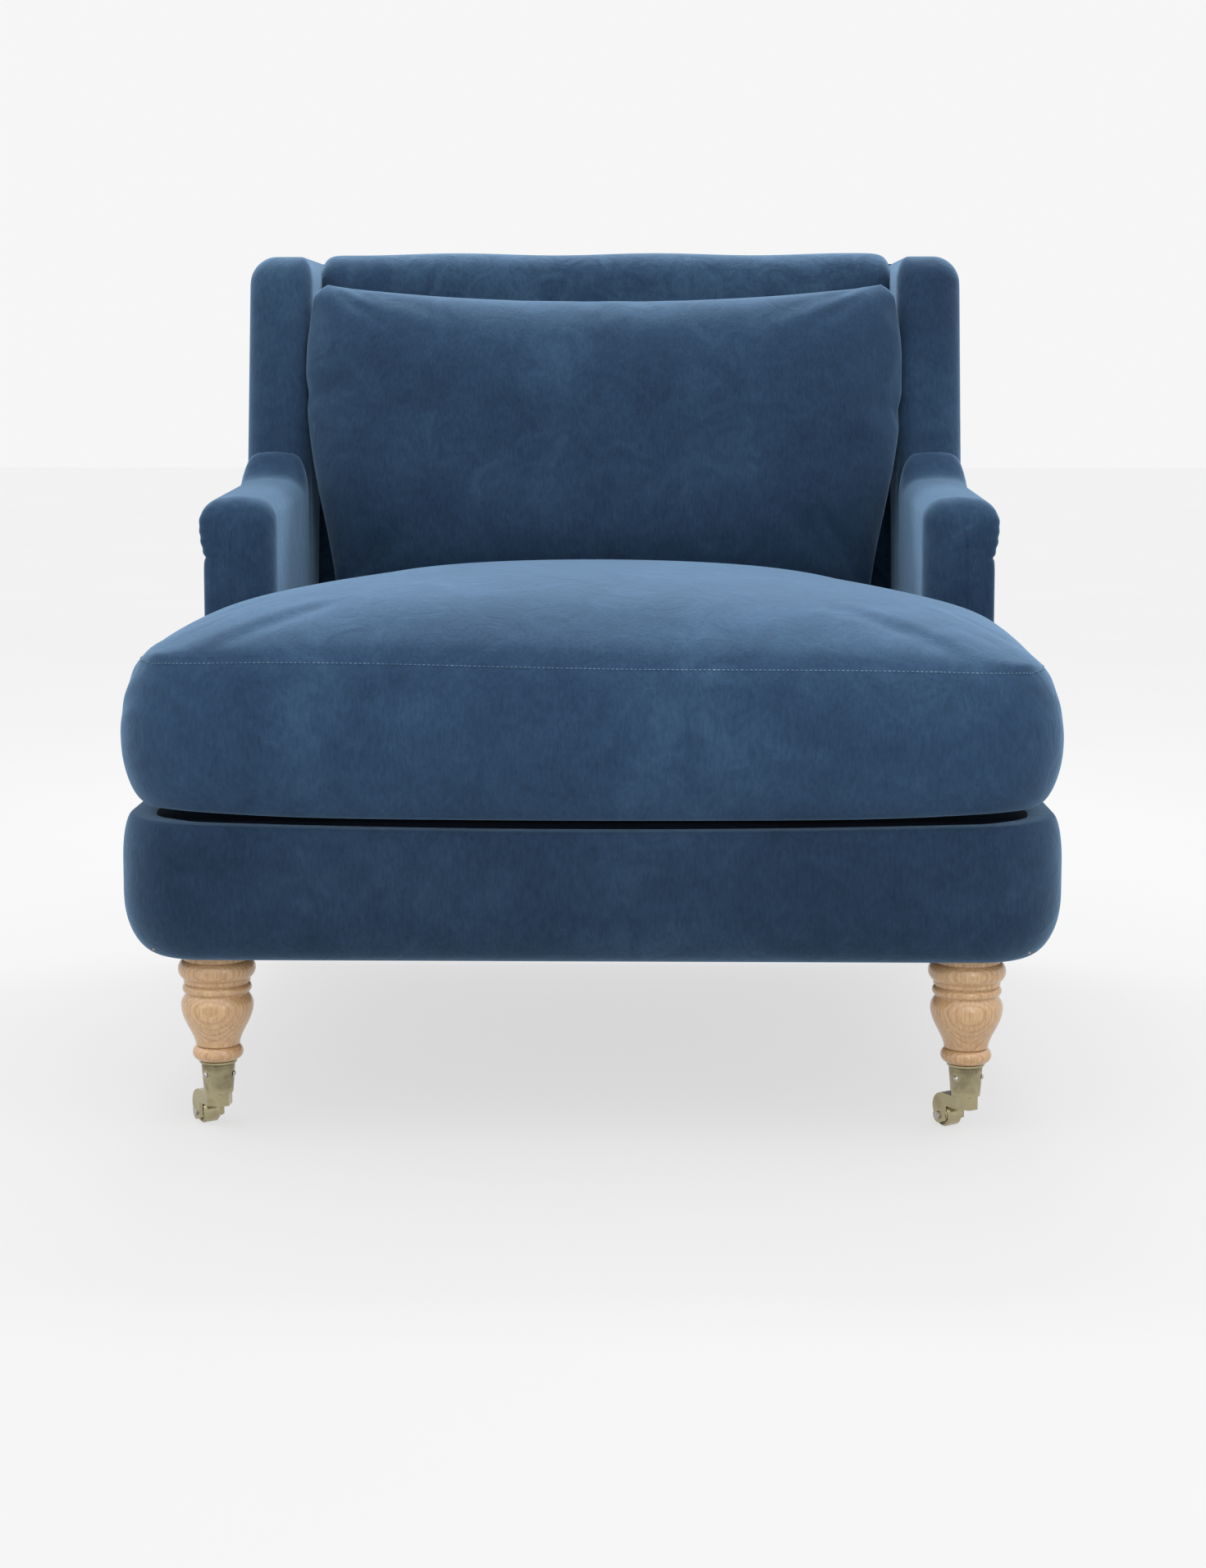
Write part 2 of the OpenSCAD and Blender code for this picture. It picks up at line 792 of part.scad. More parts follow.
module caster_axle(side) {
  color(steel)
    trailing(side)
      rotate([90, 0, 0])
        translate([trail, wheel_r, 0]) {
          cylinder(r = axle_r, h = 2 * horn_half + 0.02, center = true, $fn = 32);
          for (s = [-1, 1])
            translate([0, 0, s * (horn_half + 0.8)])
              cylinder(r = axle_r + 1.6, h = 1.6, center = true, $fn = 32);
        }
}

// a barrel wheel with dished sides
module caster_wheel(side) {
  color(antique_brass)
    trailing(side)
      translate([trail, 0, wheel_r])
        rotate([90, 0, 0])
          rotate_extrude($fn = 96)
            polygon([
              [axle_r + axle_fit, -wheel_w / 2], [wheel_r - 5, -wheel_w / 2], [wheel_r - 4, -wheel_w / 2 + 1.5],
              [wheel_r - 3, -wheel_w / 2 + 1.5], [wheel_r - 2, -wheel_w / 2], [wheel_r, -wheel_w / 2 + 2.5],
              [wheel_r, wheel_w / 2 - 2.5], [wheel_r - 2, wheel_w / 2], [wheel_r - 3, wheel_w / 2 - 1.5],
              [wheel_r - 4, wheel_w / 2 - 1.5], [wheel_r - 5, wheel_w / 2], [axle_r + axle_fit, wheel_w / 2]
            ]);
}

// ---------------------------------------------------------------- cushions

// one crowned block of the seat cushion: straight sides, then a top that rounds over to its crown
module crowned(half, y0, y1, back_run, inset) {
  z0 = seat_bottom + inset;
  shoulder = crown_shoulder * crown_run;
  hull() {
    box(-half + inset, half - inset, y0 + inset, y1 - inset, z0, seat_seam - inset / 2);
    box(-half + shoulder, half - shoulder, y0 + shoulder, y1 - crown_shoulder * back_run,
      z0 + 1, seat_seam + seat_crown / 2 - inset);
    box(-half + crown_run, half - crown_run, y0 + crown_run, y1 - back_run, z0 + 1, seat_top - inset);
  }
}

// the seat cushion moved in by inset: a stem between the arms, ears ahead of them, a ledge at the rear
module seat_cushion_form(inset) {
  union() {
    box(-stem_half + inset, stem_half - inset, front_y + inset, seat_back_y - inset,
      seat_bottom + inset, seat_seam - inset);
    crowned(stem_half, front_y, seat_back_y - ledge, crown_back_run, inset);
    crowned(ear_half, front_y, ear_back, crown_back_run, inset);
  }
}

module zip_slot(l, h) {
  box(-l / 2, l / 2, seat_back_y - cover_t - 1, seat_back_y + 1, zip_z - h / 2, zip_z + h / 2);
}

module seat_cushion_core() {
  color(foam) seat_cushion_form(cover_t + gap);
}

module seat_cushion_cover() {
  color(velvet)
    difference() {
      seat_cushion_form(0);
      seat_cushion_form(cover_t);
      zip_slot(zip_l, zip_h);
    }
}

// two woven tapes and the coil between them, set in the rear of the seat cushion's cover
module seat_zip_tape() {
  color(black_cloth)
    intersection() {
      box(-zip_l / 2 + 0.2, zip_l / 2 - 0.2, seat_back_y - cover_t + 0.2, seat_back_y - 1,
        zip_z - zip_h / 2 + 0.2, zip_z + zip_h / 2 - 0.2);
      box(-zip_l, zip_l, seat_back_y - cover_t, seat_back_y, 0, overall_h);
    }
}

module seat_zip_slider() {
  x = -zip_l / 2 + 12;
  color(antique_brass) {
    translate([x - 5, seat_back_y - 0.9, zip_z - 5]) cube([10, 2.1, 10]);
    translate([x - 2.5, seat_back_y + 0.4, zip_z - 30]) cube([5, 0.8, 26]);
  }
}

// the back cushion in its own frame: +X across, +Y through it to the back, +Z up its height
module back_cushion_form(inset) {
  half = back_cushion_half - inset;
  t = back_cushion_t / 2 - inset;
  h = back_cushion_h - inset;
  flat_back = 30;
  flat_front = 75;
  translate([0, in_y(back_cushion_bottom) - back_cushion_mid / cos(back_rake), back_cushion_bottom])
    rotate([-back_rake, 0, 0])
      hull() {
        box(-half, half, -back_cushion_rim, back_cushion_rim, inset, h);
        box(-half + flat_back, half - flat_back, t - 1, t, flat_back, h - flat_back);
        box(-half + flat_front, half - flat_front, -t, -t + 1, flat_front, h - flat_front);
      }
}

module back_cushion_core() {
  color(foam) back_cushion_form(cover_t + gap);
}

module back_cushion_cover() {
  color(velvet)
    difference() {
      back_cushion_form(0);
      back_cushion_form(cover_t);
      // the slit of the cover's lower seam, which closes without a zip
      translate([0, in_y(back_cushion_bottom) - back_cushion_mid / cos(back_rake), back_cushion_bottom])
        rotate([-back_rake, 0, 0])
          box(-240, 240, -1, 1, -2, 8);
    }
}

front_rail();
rear_rail();
side_rail(-1);  // left_side_rail
side_rail(1);  // right_side_rail
corner_blocks();
arm_post(-1);  // left_arm_post
arm_post(1);  // right_arm_post
arm_rail(-1);  // left_arm_rail
arm_rail(1);  // right_arm_rail
wing_post(-1);  // left_wing_post
wing_post(1);  // right_wing_post
back_post(-1);  // left_back_post
back_post(1);  // right_back_post
back_top_rail();
back_lower_rail();
seat_springs();
spring_clips();
back_webbing();
deck_pad();
base_padding();
base_cover();
dust_cover();
arm_pad(-1);  // left_arm_pad
arm_pad(1);  // right_arm_pad
arm_cover(-1);  // left_arm_cover
arm_cover(1);  // right_arm_cover
outside_arm(-1);  // left_outside_arm
outside_arm(1);  // right_outside_arm
wing_pad(-1);  // left_wing_pad
wing_pad(1);  // right_wing_pad
wing_cover(-1);  // left_wing_cover
wing_cover(1);  // right_wing_cover
back_pad();
inside_back_cover();
outside_back_cover();
front_leg(-1);  // left_front_leg
front_leg(1);  // right_front_leg
rear_leg(-1);  // left_rear_leg
rear_leg(1);  // right_rear_leg
leg_bolts();
leg_plates();
rear_glides();
caster_cup(-1);  // left_caster_cup
caster_cup(1);  // right_caster_cup
caster_screws();
caster_horn(-1);  // left_caster_horn
caster_horn(1);  // right_caster_horn
caster_pin(-1);  // left_caster_pin
caster_pin(1);  // right_caster_pin
caster_axle(-1);  // left_caster_axle
caster_axle(1);  // right_caster_axle
caster_wheel(-1);  // left_caster_wheel
caster_wheel(1);  // right_caster_wheel
seat_cushion_core();
seat_cushion_cover();
seat_zip_tape();
seat_zip_slider();
back_cushion_core();
back_cushion_cover();
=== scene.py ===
"""The looks of a deep velvet armchair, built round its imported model. Metres, +Z up, the front faces -Y."""

import json
import math

import bmesh
import bpy
import numpy as np
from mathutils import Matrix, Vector


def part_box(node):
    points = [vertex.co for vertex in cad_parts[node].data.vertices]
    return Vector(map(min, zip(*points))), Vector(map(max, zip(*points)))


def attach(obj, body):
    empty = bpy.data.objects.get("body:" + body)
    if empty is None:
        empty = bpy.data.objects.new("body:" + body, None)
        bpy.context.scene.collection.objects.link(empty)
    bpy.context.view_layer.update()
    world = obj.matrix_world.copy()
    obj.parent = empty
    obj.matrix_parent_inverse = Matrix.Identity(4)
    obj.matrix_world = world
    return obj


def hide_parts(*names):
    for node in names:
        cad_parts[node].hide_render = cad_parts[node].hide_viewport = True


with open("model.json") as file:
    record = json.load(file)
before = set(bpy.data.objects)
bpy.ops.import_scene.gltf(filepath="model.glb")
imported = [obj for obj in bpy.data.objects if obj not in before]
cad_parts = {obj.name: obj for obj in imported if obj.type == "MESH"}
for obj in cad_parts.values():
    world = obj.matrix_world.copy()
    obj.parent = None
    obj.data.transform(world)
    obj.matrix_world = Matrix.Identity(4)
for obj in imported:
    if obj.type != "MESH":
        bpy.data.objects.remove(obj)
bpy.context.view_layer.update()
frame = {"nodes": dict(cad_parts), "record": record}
SCENE = bpy.context.scene

# ------------------------------------------------------------------ places, read from the frame

COVER = 0.003
GAP = 0.0005
ARM_SLOPE = math.radians(2.5)
ARM_ROLL_R = 0.027
ARM_INNER_R = 0.026
ARM_ROLL_OUT = 0.004
PANEL_FROM = 0.018

base_low, base_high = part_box("base_cover")
deck_low, deck_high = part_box("deck_pad")
arm_low, arm_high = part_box("right_arm_cover")
panel_low, panel_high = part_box("right_outside_arm")
wing_low, wing_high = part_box("right_wing_cover")
rear_low, rear_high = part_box("outside_back_cover")
seat_low, seat_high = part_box("seat_cushion_cover")
pillow_low, pillow_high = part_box("back_cushion_cover")

BASE_HALF = base_high.x
BASE_FRONT = base_low.y
BASE_BOTTOM = base_low.z
BASE_TOP = deck_high.z
ARM_FRONT = arm_low.y
INNER_HALF = arm_low.x
ARM_HALF = wing_high.x
DECK_BOTTOM = deck_low.z
TOP = wing_high.z
BACK_HIGH_Y = rear_high.y
LEAN = (rear_high.y - rear_low.y - COVER) / (rear_high.z - rear_low.z)
RAKE = math.atan(LEAN)
WING_T = wing_high.y - wing_low.y - LEAN * (wing_high.z - wing_low.z) + COVER + GAP
ARM_TOP = arm_high.z - math.tan(ARM_SLOPE) * (arm_high.y - arm_low.y)
GROOVE = panel_high.z + GAP - math.tan(ARM_SLOPE) * (panel_high.y - panel_low.y)
inside_low, inside_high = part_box("inside_back_cover")
BACK_T = inside_high.y - inside_low.y - LEAN * (inside_high.z - inside_low.z) + COVER + GAP


def out_y(z):
    """The outside of the back at height z."""
    return BACK_HIGH_Y - (TOP - z) * LEAN


def smooth(t):
    """Eases from 0 to 1 as t goes from 0 to 1."""
    t = np.clip(t, 0, 1)
    return t * t * (3 - 2 * t)


# ------------------------------------------------------------------ meshes


def link(name, verts, faces, soft_shading=True):
    """A new object in the scene, its faces turned outward."""
    mesh = bpy.data.meshes.new(name)
    mesh.from_pydata([tuple(map(float, v)) for v in verts], [], [tuple(map(int, f)) for f in faces])
    mesh.validate()
    obj = bpy.data.objects.new(name, mesh)
    SCENE.collection.objects.link(obj)
    fix = bmesh.new()
    fix.from_mesh(mesh)
    bmesh.ops.recalc_face_normals(fix, faces=fix.faces)
    fix.to_mesh(mesh)
    fix.free()
    if soft_shading:
        mesh.shade_smooth()
    return obj


def grid_faces(rows, cols, wrap=False, start=0):
    """Quads of a grid of rows by cols points, its columns joined end to end if wrap."""
    faces = []
    for r in range(rows - 1):
        for c in range(cols if wrap else cols - 1):
            d = (c + 1) % cols
            low, high = start + r * cols, start + (r + 1) * cols
            faces.append((low + c, low + d, high + d, high + c))
    return faces


def tube_of_rings(name, rings):
    """A closed skin over rings of equally many points, each end drawn to its middle by a fan."""
    rings = np.asarray(rings, float)
    count, cols = rings.shape[:2]
    verts = rings.reshape(-1, 3).tolist()
    faces = grid_faces(count, cols, wrap=True)
    for row in (0, count - 1):
        verts.append(rings[row].mean(0).tolist())
        hub = len(verts) - 1
        faces += [(row * cols + c, row * cols + (c + 1) % cols, hub) for c in range(cols)]
    return link(name, verts, faces)


def rounded_outline(corners, radii, per_arc, per_side):
    """Points round a polygon whose corners are replaced by arcs, the same number for any size."""
    points = []
    count = len(corners)
    ends = []
    for i in range(count):
        p = np.array(corners[i], float)
        a = np.array(corners[i - 1], float) - p
        b = np.array(corners[(i + 1) % count], float) - p
        a /= np.linalg.norm(a)
        b /= np.linalg.norm(b)
        half = math.acos(max(-1, min(1, float(a @ b)))) / 2
        reach = radii[i] / math.tan(half)
        start, end = p + a * reach, p + b * reach
        centre = p + (a + b) / np.linalg.norm(a + b) * radii[i] / math.sin(half)
        u, v = start - centre, end - centre
        turn = math.pi - 2 * half
        arc = []
        for k in range(per_arc + 1):
            t = k / per_arc
            swing = u * math.sin((1 - t) * turn) + v * math.sin(t * turn)
            arc.append(centre + swing / max(math.sin(turn), 1e-9))
        ends.append(arc)
    for i in range(count):
        points += ends[i]
        nxt = ends[(i + 1) % count][0]
        last = ends[i][-1]
        points += [last + (nxt - last) * k / per_side for k in range(1, per_side)]
    return np.array(points)


def modify(obj, kind, **settings):
    mod = obj.modifiers.new(kind.title(), kind)
    for key, value in settings.items():
        setattr(mod, key, value)
    return mod


def apply_all(obj):
    """Bakes the modifiers into the mesh."""
    graph = bpy.context.evaluated_depsgraph_get()
    graph.update()
    mesh = bpy.data.meshes.new_from_object(obj.evaluated_get(graph))
    old = obj.data
    obj.modifiers.clear()
    obj.data = mesh
    bpy.data.meshes.remove(old)
    obj.data.shade_smooth()


def coords(obj):
    co = np.empty(len(obj.data.vertices) * 3)
    obj.data.vertices.foreach_get("co", co)
    return co.reshape(-1, 3)


def set_coords(obj, co):
    obj.data.vertices.foreach_set("co", np.asarray(co, np.float32).ravel())
    obj.data.update()


# ------------------------------------------------------------------ materials


class Nodes:
    """A material's node tree, with short names for what these materials use."""

    def __init__(self, name, **sockets):
        self.material = bpy.data.materials.new(name)
        self.material.use_nodes = True
        self.tree = self.material.node_tree
        self.shader = self.tree.nodes["Principled BSDF"]
        self.place = self.add("ShaderNodeTexCoord").outputs["Object"]
        for socket, value in sockets.items():
            self.shader.inputs[socket.replace("_", " ")].default_value = value

    def add(self, kind, **settings):
        node = self.tree.nodes.new(kind)
        for key, value in settings.items():
            setattr(node, key, value)
        return node

    def join(self, source, target):
        self.tree.links.new(source, target)

    def scaled(self, scale, turn=(0, 0, 0)):
        node = self.add("ShaderNodeMapping")
        node.inputs["Scale"].default_value = scale
        node.inputs["Rotation"].default_value = turn
        self.join(self.place, node.inputs["Vector"])
        return node.outputs["Vector"]

    def noise(self, scale, detail=3.0, rough=0.5, distort=0.0, vector=None):
        node = self.add("ShaderNodeTexNoise")
        node.inputs["Scale"].default_value = scale
        node.inputs["Detail"].default_value = detail
        node.inputs["Roughness"].default_value = rough
        node.inputs["Distortion"].default_value = distort
        self.join(self.place if vector is None else vector, node.inputs["Vector"])
        return node.outputs["Fac"]

    def ramp(self, value, *stops):
        node = self.add("ShaderNodeValToRGB")
        while len(node.color_ramp.elements) < len(stops):
            node.color_ramp.elements.new(0.5)
        for element, (at, colour) in zip(node.color_ramp.elements, stops):
            element.position = at
            element.color = (*colour, 1) if len(colour) == 3 else colour
        self.join(value, node.inputs["Fac"])
        return node.outputs["Color"]

    def range(self, value, low, high, to_low, to_high):
        node = self.add("ShaderNodeMapRange")
        for socket, number in zip(("From Min", "From Max", "To Min", "To Max"), (low, high, to_low, to_high)):
            node.inputs[socket].default_value = number
        self.join(value, node.inputs["Value"])
        return node.outputs["Result"]

    def mix(self, kind, factor, a, b):
        node = self.add("ShaderNodeMix", data_type="RGBA", blend_type=kind)
        inputs = [s for s in node.inputs if s.enabled]
        for socket, value in zip(inputs, (factor, a, b)):
            if hasattr(value, "links"):
                self.join(value, socket)
            elif isinstance(value, (int, float)):
                socket.default_value = value
            else:
                socket.default_value = (*value, 1)
        return [s for s in node.outputs if s.enabled][0]

    def math(self, kind, a, b=0.0):
        node = self.add("ShaderNodeMath", operation=kind)
        for socket, value in zip(node.inputs, (a, b)):
            if hasattr(value, "links"):
                self.join(value, socket)
            else:
                socket.default_value = value
        return node.outputs["Value"]

    def bump(self, *layers):
        """Stacks (height, strength, distance) layers of bump on the shader's normal."""
        normal = None
        for height, strength, distance in layers:
            node = self.add("ShaderNodeBump")
            node.inputs["Strength"].default_value = strength
            node.inputs["Distance"].default_value = distance
            self.join(height, node.inputs["Height"])
            if normal is not None:
                self.join(normal, node.inputs["Normal"])
            normal = node.outputs["Normal"]
        self.join(normal, self.shader.inputs["Normal"])

    def set(self, socket, value):
        self.join(value, self.shader.inputs[socket])


def velvet(name, dark, mid, light, crushed=1.0):
    """Velvet: a short pile, crush marks in soft patches, and a blue sheen where it turns away."""
    m = Nodes(
        name, Roughness=0.95, Specular_IOR_Level=0.08, Sheen_Weight=0.54, Sheen_Roughness=0.42,
        Sheen_Tint=(0.37, 0.60, 0.86, 1),
    )
    patches = m.noise(5.0, 3.0, 0.55, 0.8)
    crush = m.noise(24, 5.0, 0.62, 1.4)
    nap = m.noise(1.0, 3.0, 0.6, 0.3, m.scaled((330, 330, 90)))
    pile = m.noise(1500, 2.0, 0.7)
    broad = m.math("ADD", m.math("MULTIPLY", patches, 0.62), m.math("MULTIPLY", crush, 0.38 * crushed))
    colour = m.ramp(broad, (0.32, dark), (0.52, mid), (0.72, light))
    fine = m.math("ADD", m.math("MULTIPLY", nap, 0.5), m.math("MULTIPLY", pile, 0.5))
    shade = m.ramp(fine, (0.34, (0.74, 0.74, 0.74)), (0.66, (1.22, 1.22, 1.22)))
    m.set("Base Color", m.mix("MULTIPLY", 1.0, colour, shade))
    m.bump((crush, 0.30 * crushed, 0.004), (nap, 0.30, 0.0006), (pile, 0.45, 0.0003))
    return m.material


def wood(name, pale, mid, dark, gloss):
    """Straight-grained wood along Z: broad bands, fine streaks and short open pores."""
    m = Nodes(name, Roughness=gloss, Specular_IOR_Level=0.4, Coat_Weight=0.15, Coat_Roughness=0.3)
    bands = m.noise(1.0, 4.0, 0.55, 0.6, m.scaled((30, 30, 4)))
    streaks = m.noise(1.0, 5.0, 0.6, 0.2, m.scaled((260, 260, 9)))
    pores = m.noise(1.0, 2.0, 0.5, 0.0, m.scaled((900, 900, 45)))
    grain = m.ramp(bands, (0.3, dark), (0.5, mid), (0.72, pale))
    streaked = m.ramp(streaks, (0.32, (0.66, 0.62, 0.58)), (0.62, (1.06, 1.06, 1.06)))
    pored = m.ramp(pores, (0.30, (0.45, 0.38, 0.32)), (0.42, (1, 1, 1)))
    m.set("Base Color", m.mix("MULTIPLY", 0.6, m.mix("MULTIPLY", 0.75, grain, streaked), pored))
    m.set("Roughness", m.range(streaks, 0.3, 0.7, gloss - 0.08, gloss + 0.12))
    m.bump((streaks, 0.18, 0.0008), (pores, 0.22, 0.0004))
    return m.material


HEART_BEHIND = 0.11
RING_PITCH = 0.0030


def turned_oak(name, axis_x, axis_y):
    """Oak turned from a board whose heart lies behind the leg, so that its rings close on the leg's front."""
    m = Nodes(name, Roughness=0.4, Specular_IOR_Level=0.45, Coat_Weight=0.7, Coat_Roughness=0.16)
    split = m.add("ShaderNodeSeparateXYZ")
    m.join(m.place, split.inputs["Vector"])
    dx = m.math("SUBTRACT", m.math("ABSOLUTE", split.outputs["X"]), axis_x)
    dy = m.math("SUBTRACT", split.outputs["Y"], axis_y + HEART_BEHIND)
    reach = m.math("SQRT", m.math("ADD", m.math("MULTIPLY", dx, dx), m.math("MULTIPLY", dy, dy)))
    sway = m.noise(1.0, 3.0, 0.5, 0.0, m.scaled((14, 14, 5)))
    turn = m.math("ADD", m.math("MULTIPLY", reach, 2 * math.pi / RING_PITCH), m.math("MULTIPLY", sway, 13.0))
    rings = m.range(m.math("SINE", turn), -1, 1, 0, 1)
    streaks = m.noise(1.0, 4.0, 0.6, 0.2, m.scaled((420, 420, 16)))
    pores = m.noise(1.0, 2.0, 0.5, 0.0, m.scaled((1300, 1300, 70)))
    tone = m.noise(9, 2.0, 0.5)
    warm = m.ramp(tone, (0.3, (0.43, 0.265, 0.133)), (0.7, (0.53, 0.348, 0.190)))
    ringed = m.ramp(rings, (0.05, (0.86, 0.80, 0.73)), (0.55, (1.04, 1.02, 1.0)))
    streaked = m.ramp(streaks, (0.32, (0.74, 0.68, 0.60)), (0.60, (1.05, 1.05, 1.05)))
    pored = m.ramp(pores, (0.30, (0.45, 0.36, 0.28)), (0.42, (1, 1, 1)))
    grown = m.mix("MULTIPLY", 0.8, warm, ringed)
    m.set("Base Color", m.mix("MULTIPLY", 0.55, m.mix("MULTIPLY", 0.7, grown, streaked), pored))
    m.set("Roughness", m.range(streaks, 0.3, 0.7, 0.34, 0.52))
    m.bump((rings, 0.06, 0.0004), (streaks, 0.14, 0.0006), (pores, 0.25, 0.0003))
    return m.material


def aged_metal(name, bright, dark, rough, scale=60):
    """Metal that is bright where it is handled and dull in its hollows."""
    m = Nodes(name, Metallic=1.0, Roughness=rough)
    wear = m.noise(scale, 5.0, 0.6, 0.4)
    scratches = m.noise(1.0, 3.0, 0.6, 0.0, m.scaled((300, 300, 1400)))
    edge = m.range(m.add("ShaderNodeNewGeometry").outputs["Pointiness"], 0.46, 0.56, 0.0, 1.0)
    both = m.math("ADD", m.math("MULTIPLY", wear, 0.75), m.math("MULTIPLY", edge, 0.25))
    m.set("Base Color", m.ramp(both, (0.30, dark), (0.62, bright)))
    m.set("Roughness", m.range(wear, 0.3, 0.7, rough + 0.15, rough - 0.05))
    m.bump((scratches, 0.08, 0.0003), (wear, 0.15, 0.0005))
    return m.material


def woven(name, light, dark, pitch):
    """A plain weave: two crossed sets of threads, from sines of the place."""
    m = Nodes(name, Roughness=0.9, Specular_IOR_Level=0.15, Sheen_Weight=0.15, Sheen_Roughness=0.5)
    split = m.add("ShaderNodeSeparateXYZ")
    m.join(m.scaled((2 * math.pi / pitch,) * 3), split.inputs["Vector"])
    warp = m.math("SINE", split.outputs["X"])
    weft = m.math("SINE", m.math("ADD", split.outputs["Y"], split.outputs["Z"]))
    threads = m.range(m.math("MULTIPLY", warp, weft), -1, 1, 0, 1)
    fuzz = m.noise(400, 3.0, 0.6)
    both = m.math("ADD", m.math("MULTIPLY", threads, 0.6), m.math("MULTIPLY", fuzz, 0.4))
    m.set("Base Color", m.ramp(both, (0.25, dark), (0.75, light)))
    m.bump((threads, 0.5, pitch * 0.3), (fuzz, 0.2, 0.0004))
    return m.material


def foam():
    """Open-cell foam: a pale yellow with small pits."""
    m = Nodes("foam", Roughness=0.95, Specular_IOR_Level=0.1)
    cells = m.add("ShaderNodeTexVoronoi")
    cells.inputs["Scale"].default_value = 500
    m.join(m.place, cells.inputs["Vector"])
    blotch = m.noise(12, 4.0, 0.6)
    m.set("Base Color", m.ramp(blotch, (0.3, (0.72, 0.64, 0.42)), (0.7, (0.86, 0.80, 0.60))))
    m.bump((cells.outputs["Distance"], 0.6, 0.001))
    return m.material


def plastic(name, colour):
    m = Nodes(name, Roughness=0.5)
    spots = m.noise(220, 3.0, 0.6)
    m.set("Base Color", m.ramp(spots, (0.3, tuple(c * 0.75 for c in colour)), (0.7, colour)))
    m.set("Roughness", m.range(spots, 0.3, 0.7, 0.42, 0.62))
    m.bump((spots, 0.12, 0.0004))
    return m.material


BLUES = ((0.0135, 0.030, 0.062), (0.020, 0.044, 0.086), (0.032, 0.067, 0.120))
VELVET = velvet("velvet", *BLUES)
# painted light: the seat cushion's copy of the velvet is painted 16% lighter, for the light on the seat's top
# and front
LIT_VELVET = velvet("velvet_painted_light", *(tuple(c * 1.16 for c in blue) for blue in BLUES))
# painted shade: the base band's copy of the velvet is painted 20% darker, for the shade under the seat
# cushion's overhang
SHADED = velvet("velvet_painted_shade", *(tuple(c * 0.80 for c in blue) for blue in BLUES))
# painted shadow: the deck under the seat cushion is a near-black velvet with almost no sheen, for the shadow
# in the gap between cushion and base
DECK_SHADOW = velvet("deck_painted_shadow", (0.002, 0.003, 0.006), (0.003, 0.005, 0.009), (0.005, 0.008, 0.014))
DECK_SHADOW.node_tree.nodes["Principled BSDF"].inputs["Sheen Weight"].default_value = 0.05
leg_low, leg_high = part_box("right_front_leg")
LOOKS = {
    "velvet": VELVET,
    "foam": foam(),
    "beech": wood("beech", (0.62, 0.44, 0.27), (0.52, 0.35, 0.20), (0.42, 0.27, 0.15), 0.55),
    "oak": turned_oak("oak", (leg_low.x + leg_high.x) / 2, (leg_low.y + leg_high.y) / 2),
    "spring_steel": aged_metal("spring_steel", (0.42, 0.42, 0.43), (0.16, 0.15, 0.15), 0.35),
    "steel": aged_metal("steel", (0.48, 0.46, 0.43), (0.16, 0.14, 0.12), 0.38, 120),
    "webbing": woven("webbing", (0.20, 0.18, 0.16), (0.05, 0.045, 0.04), 0.0022),
    "dust_cloth": woven("dust_cloth", (0.045, 0.045, 0.05), (0.012, 0.012, 0.014), 0.0016),
    "nylon": plastic("nylon", (0.06, 0.06, 0.06)),
    "zip_tape": woven("zip_tape", (0.05, 0.08, 0.13), (0.015, 0.025, 0.045), 0.0012),
    "antique_brass": aged_metal("antique_brass", (0.42, 0.37, 0.23), (0.16, 0.135, 0.08), 0.19),
}

for part in frame["record"]["subparts"]:
    node = frame["nodes"][part["node"]]
    node.data.materials.clear()
    node.data.materials.append(LOOKS[part["material_slot"]])


def piece(obj, body, material, replaces=()):
    """Gives a finished mesh its material, its body, and the CAD nodes that it stands for."""
    obj.data.materials.clear()
    obj.data.materials.append(material)
    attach(obj, body)
    if replaces:
        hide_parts(*replaces)
    return obj


# ------------------------------------------------------------------ cloth


SIM_FRAMES = 20
STIFFNESS = 15.0


def inflate(obj, pressure, pinned, cap):
    """Puffs a closed skin by cloth simulation, moving no point further than cap.

    pinned gives, for each pin weight, the points held by it; a later weight replaces an earlier one."""
    start = coords(obj)
    group = obj.vertex_groups.new(name="pin")
    for weight, members in pinned.items():
        group.add([int(i) for i in members], weight, "REPLACE")
    mod = modify(obj, "CLOTH")
    cloth = mod.settings
    cloth.quality = 6
    cloth.mass = 0.3
    cloth.tension_stiffness = STIFFNESS
    cloth.compression_stiffness = STIFFNESS
    cloth.shear_stiffness = 5.0
    cloth.bending_stiffness = 0.5
    cloth.air_damping = 4.0
    cloth.use_pressure = True
    cloth.uniform_pressure_force = pressure
    cloth.shrink_min = 0.0
    cloth.vertex_group_mass = "pin"
    cloth.pin_stiffness = 1.0
    cloth.effector_weights.gravity = 0.0
    mod.collision_settings.use_collision = False
    mod.collision_settings.use_self_collision = False
    mod.point_cache.frame_start = 1
    mod.point_cache.frame_end = SIM_FRAMES
    for number in range(1, SIM_FRAMES + 1):
        SCENE.frame_set(number)
    graph = bpy.context.evaluated_depsgraph_get()
    done = obj.evaluated_get(graph)
    co = np.empty(len(done.data.vertices) * 3)
    done.data.vertices.foreach_get("co", co)
    co = co.reshape(-1, 3)
    move = co - start
    size = np.linalg.norm(move, axis=1, keepdims=True)
    soft = cap * np.tanh(size / cap)
    obj.modifiers.clear()
    obj.vertex_groups.clear()
    set_coords(obj, start + move * np.where(size > 1e-9, soft / np.maximum(size, 1e-9), 0))
    SCENE.frame_set(1)


# ------------------------------------------------------------------ base band


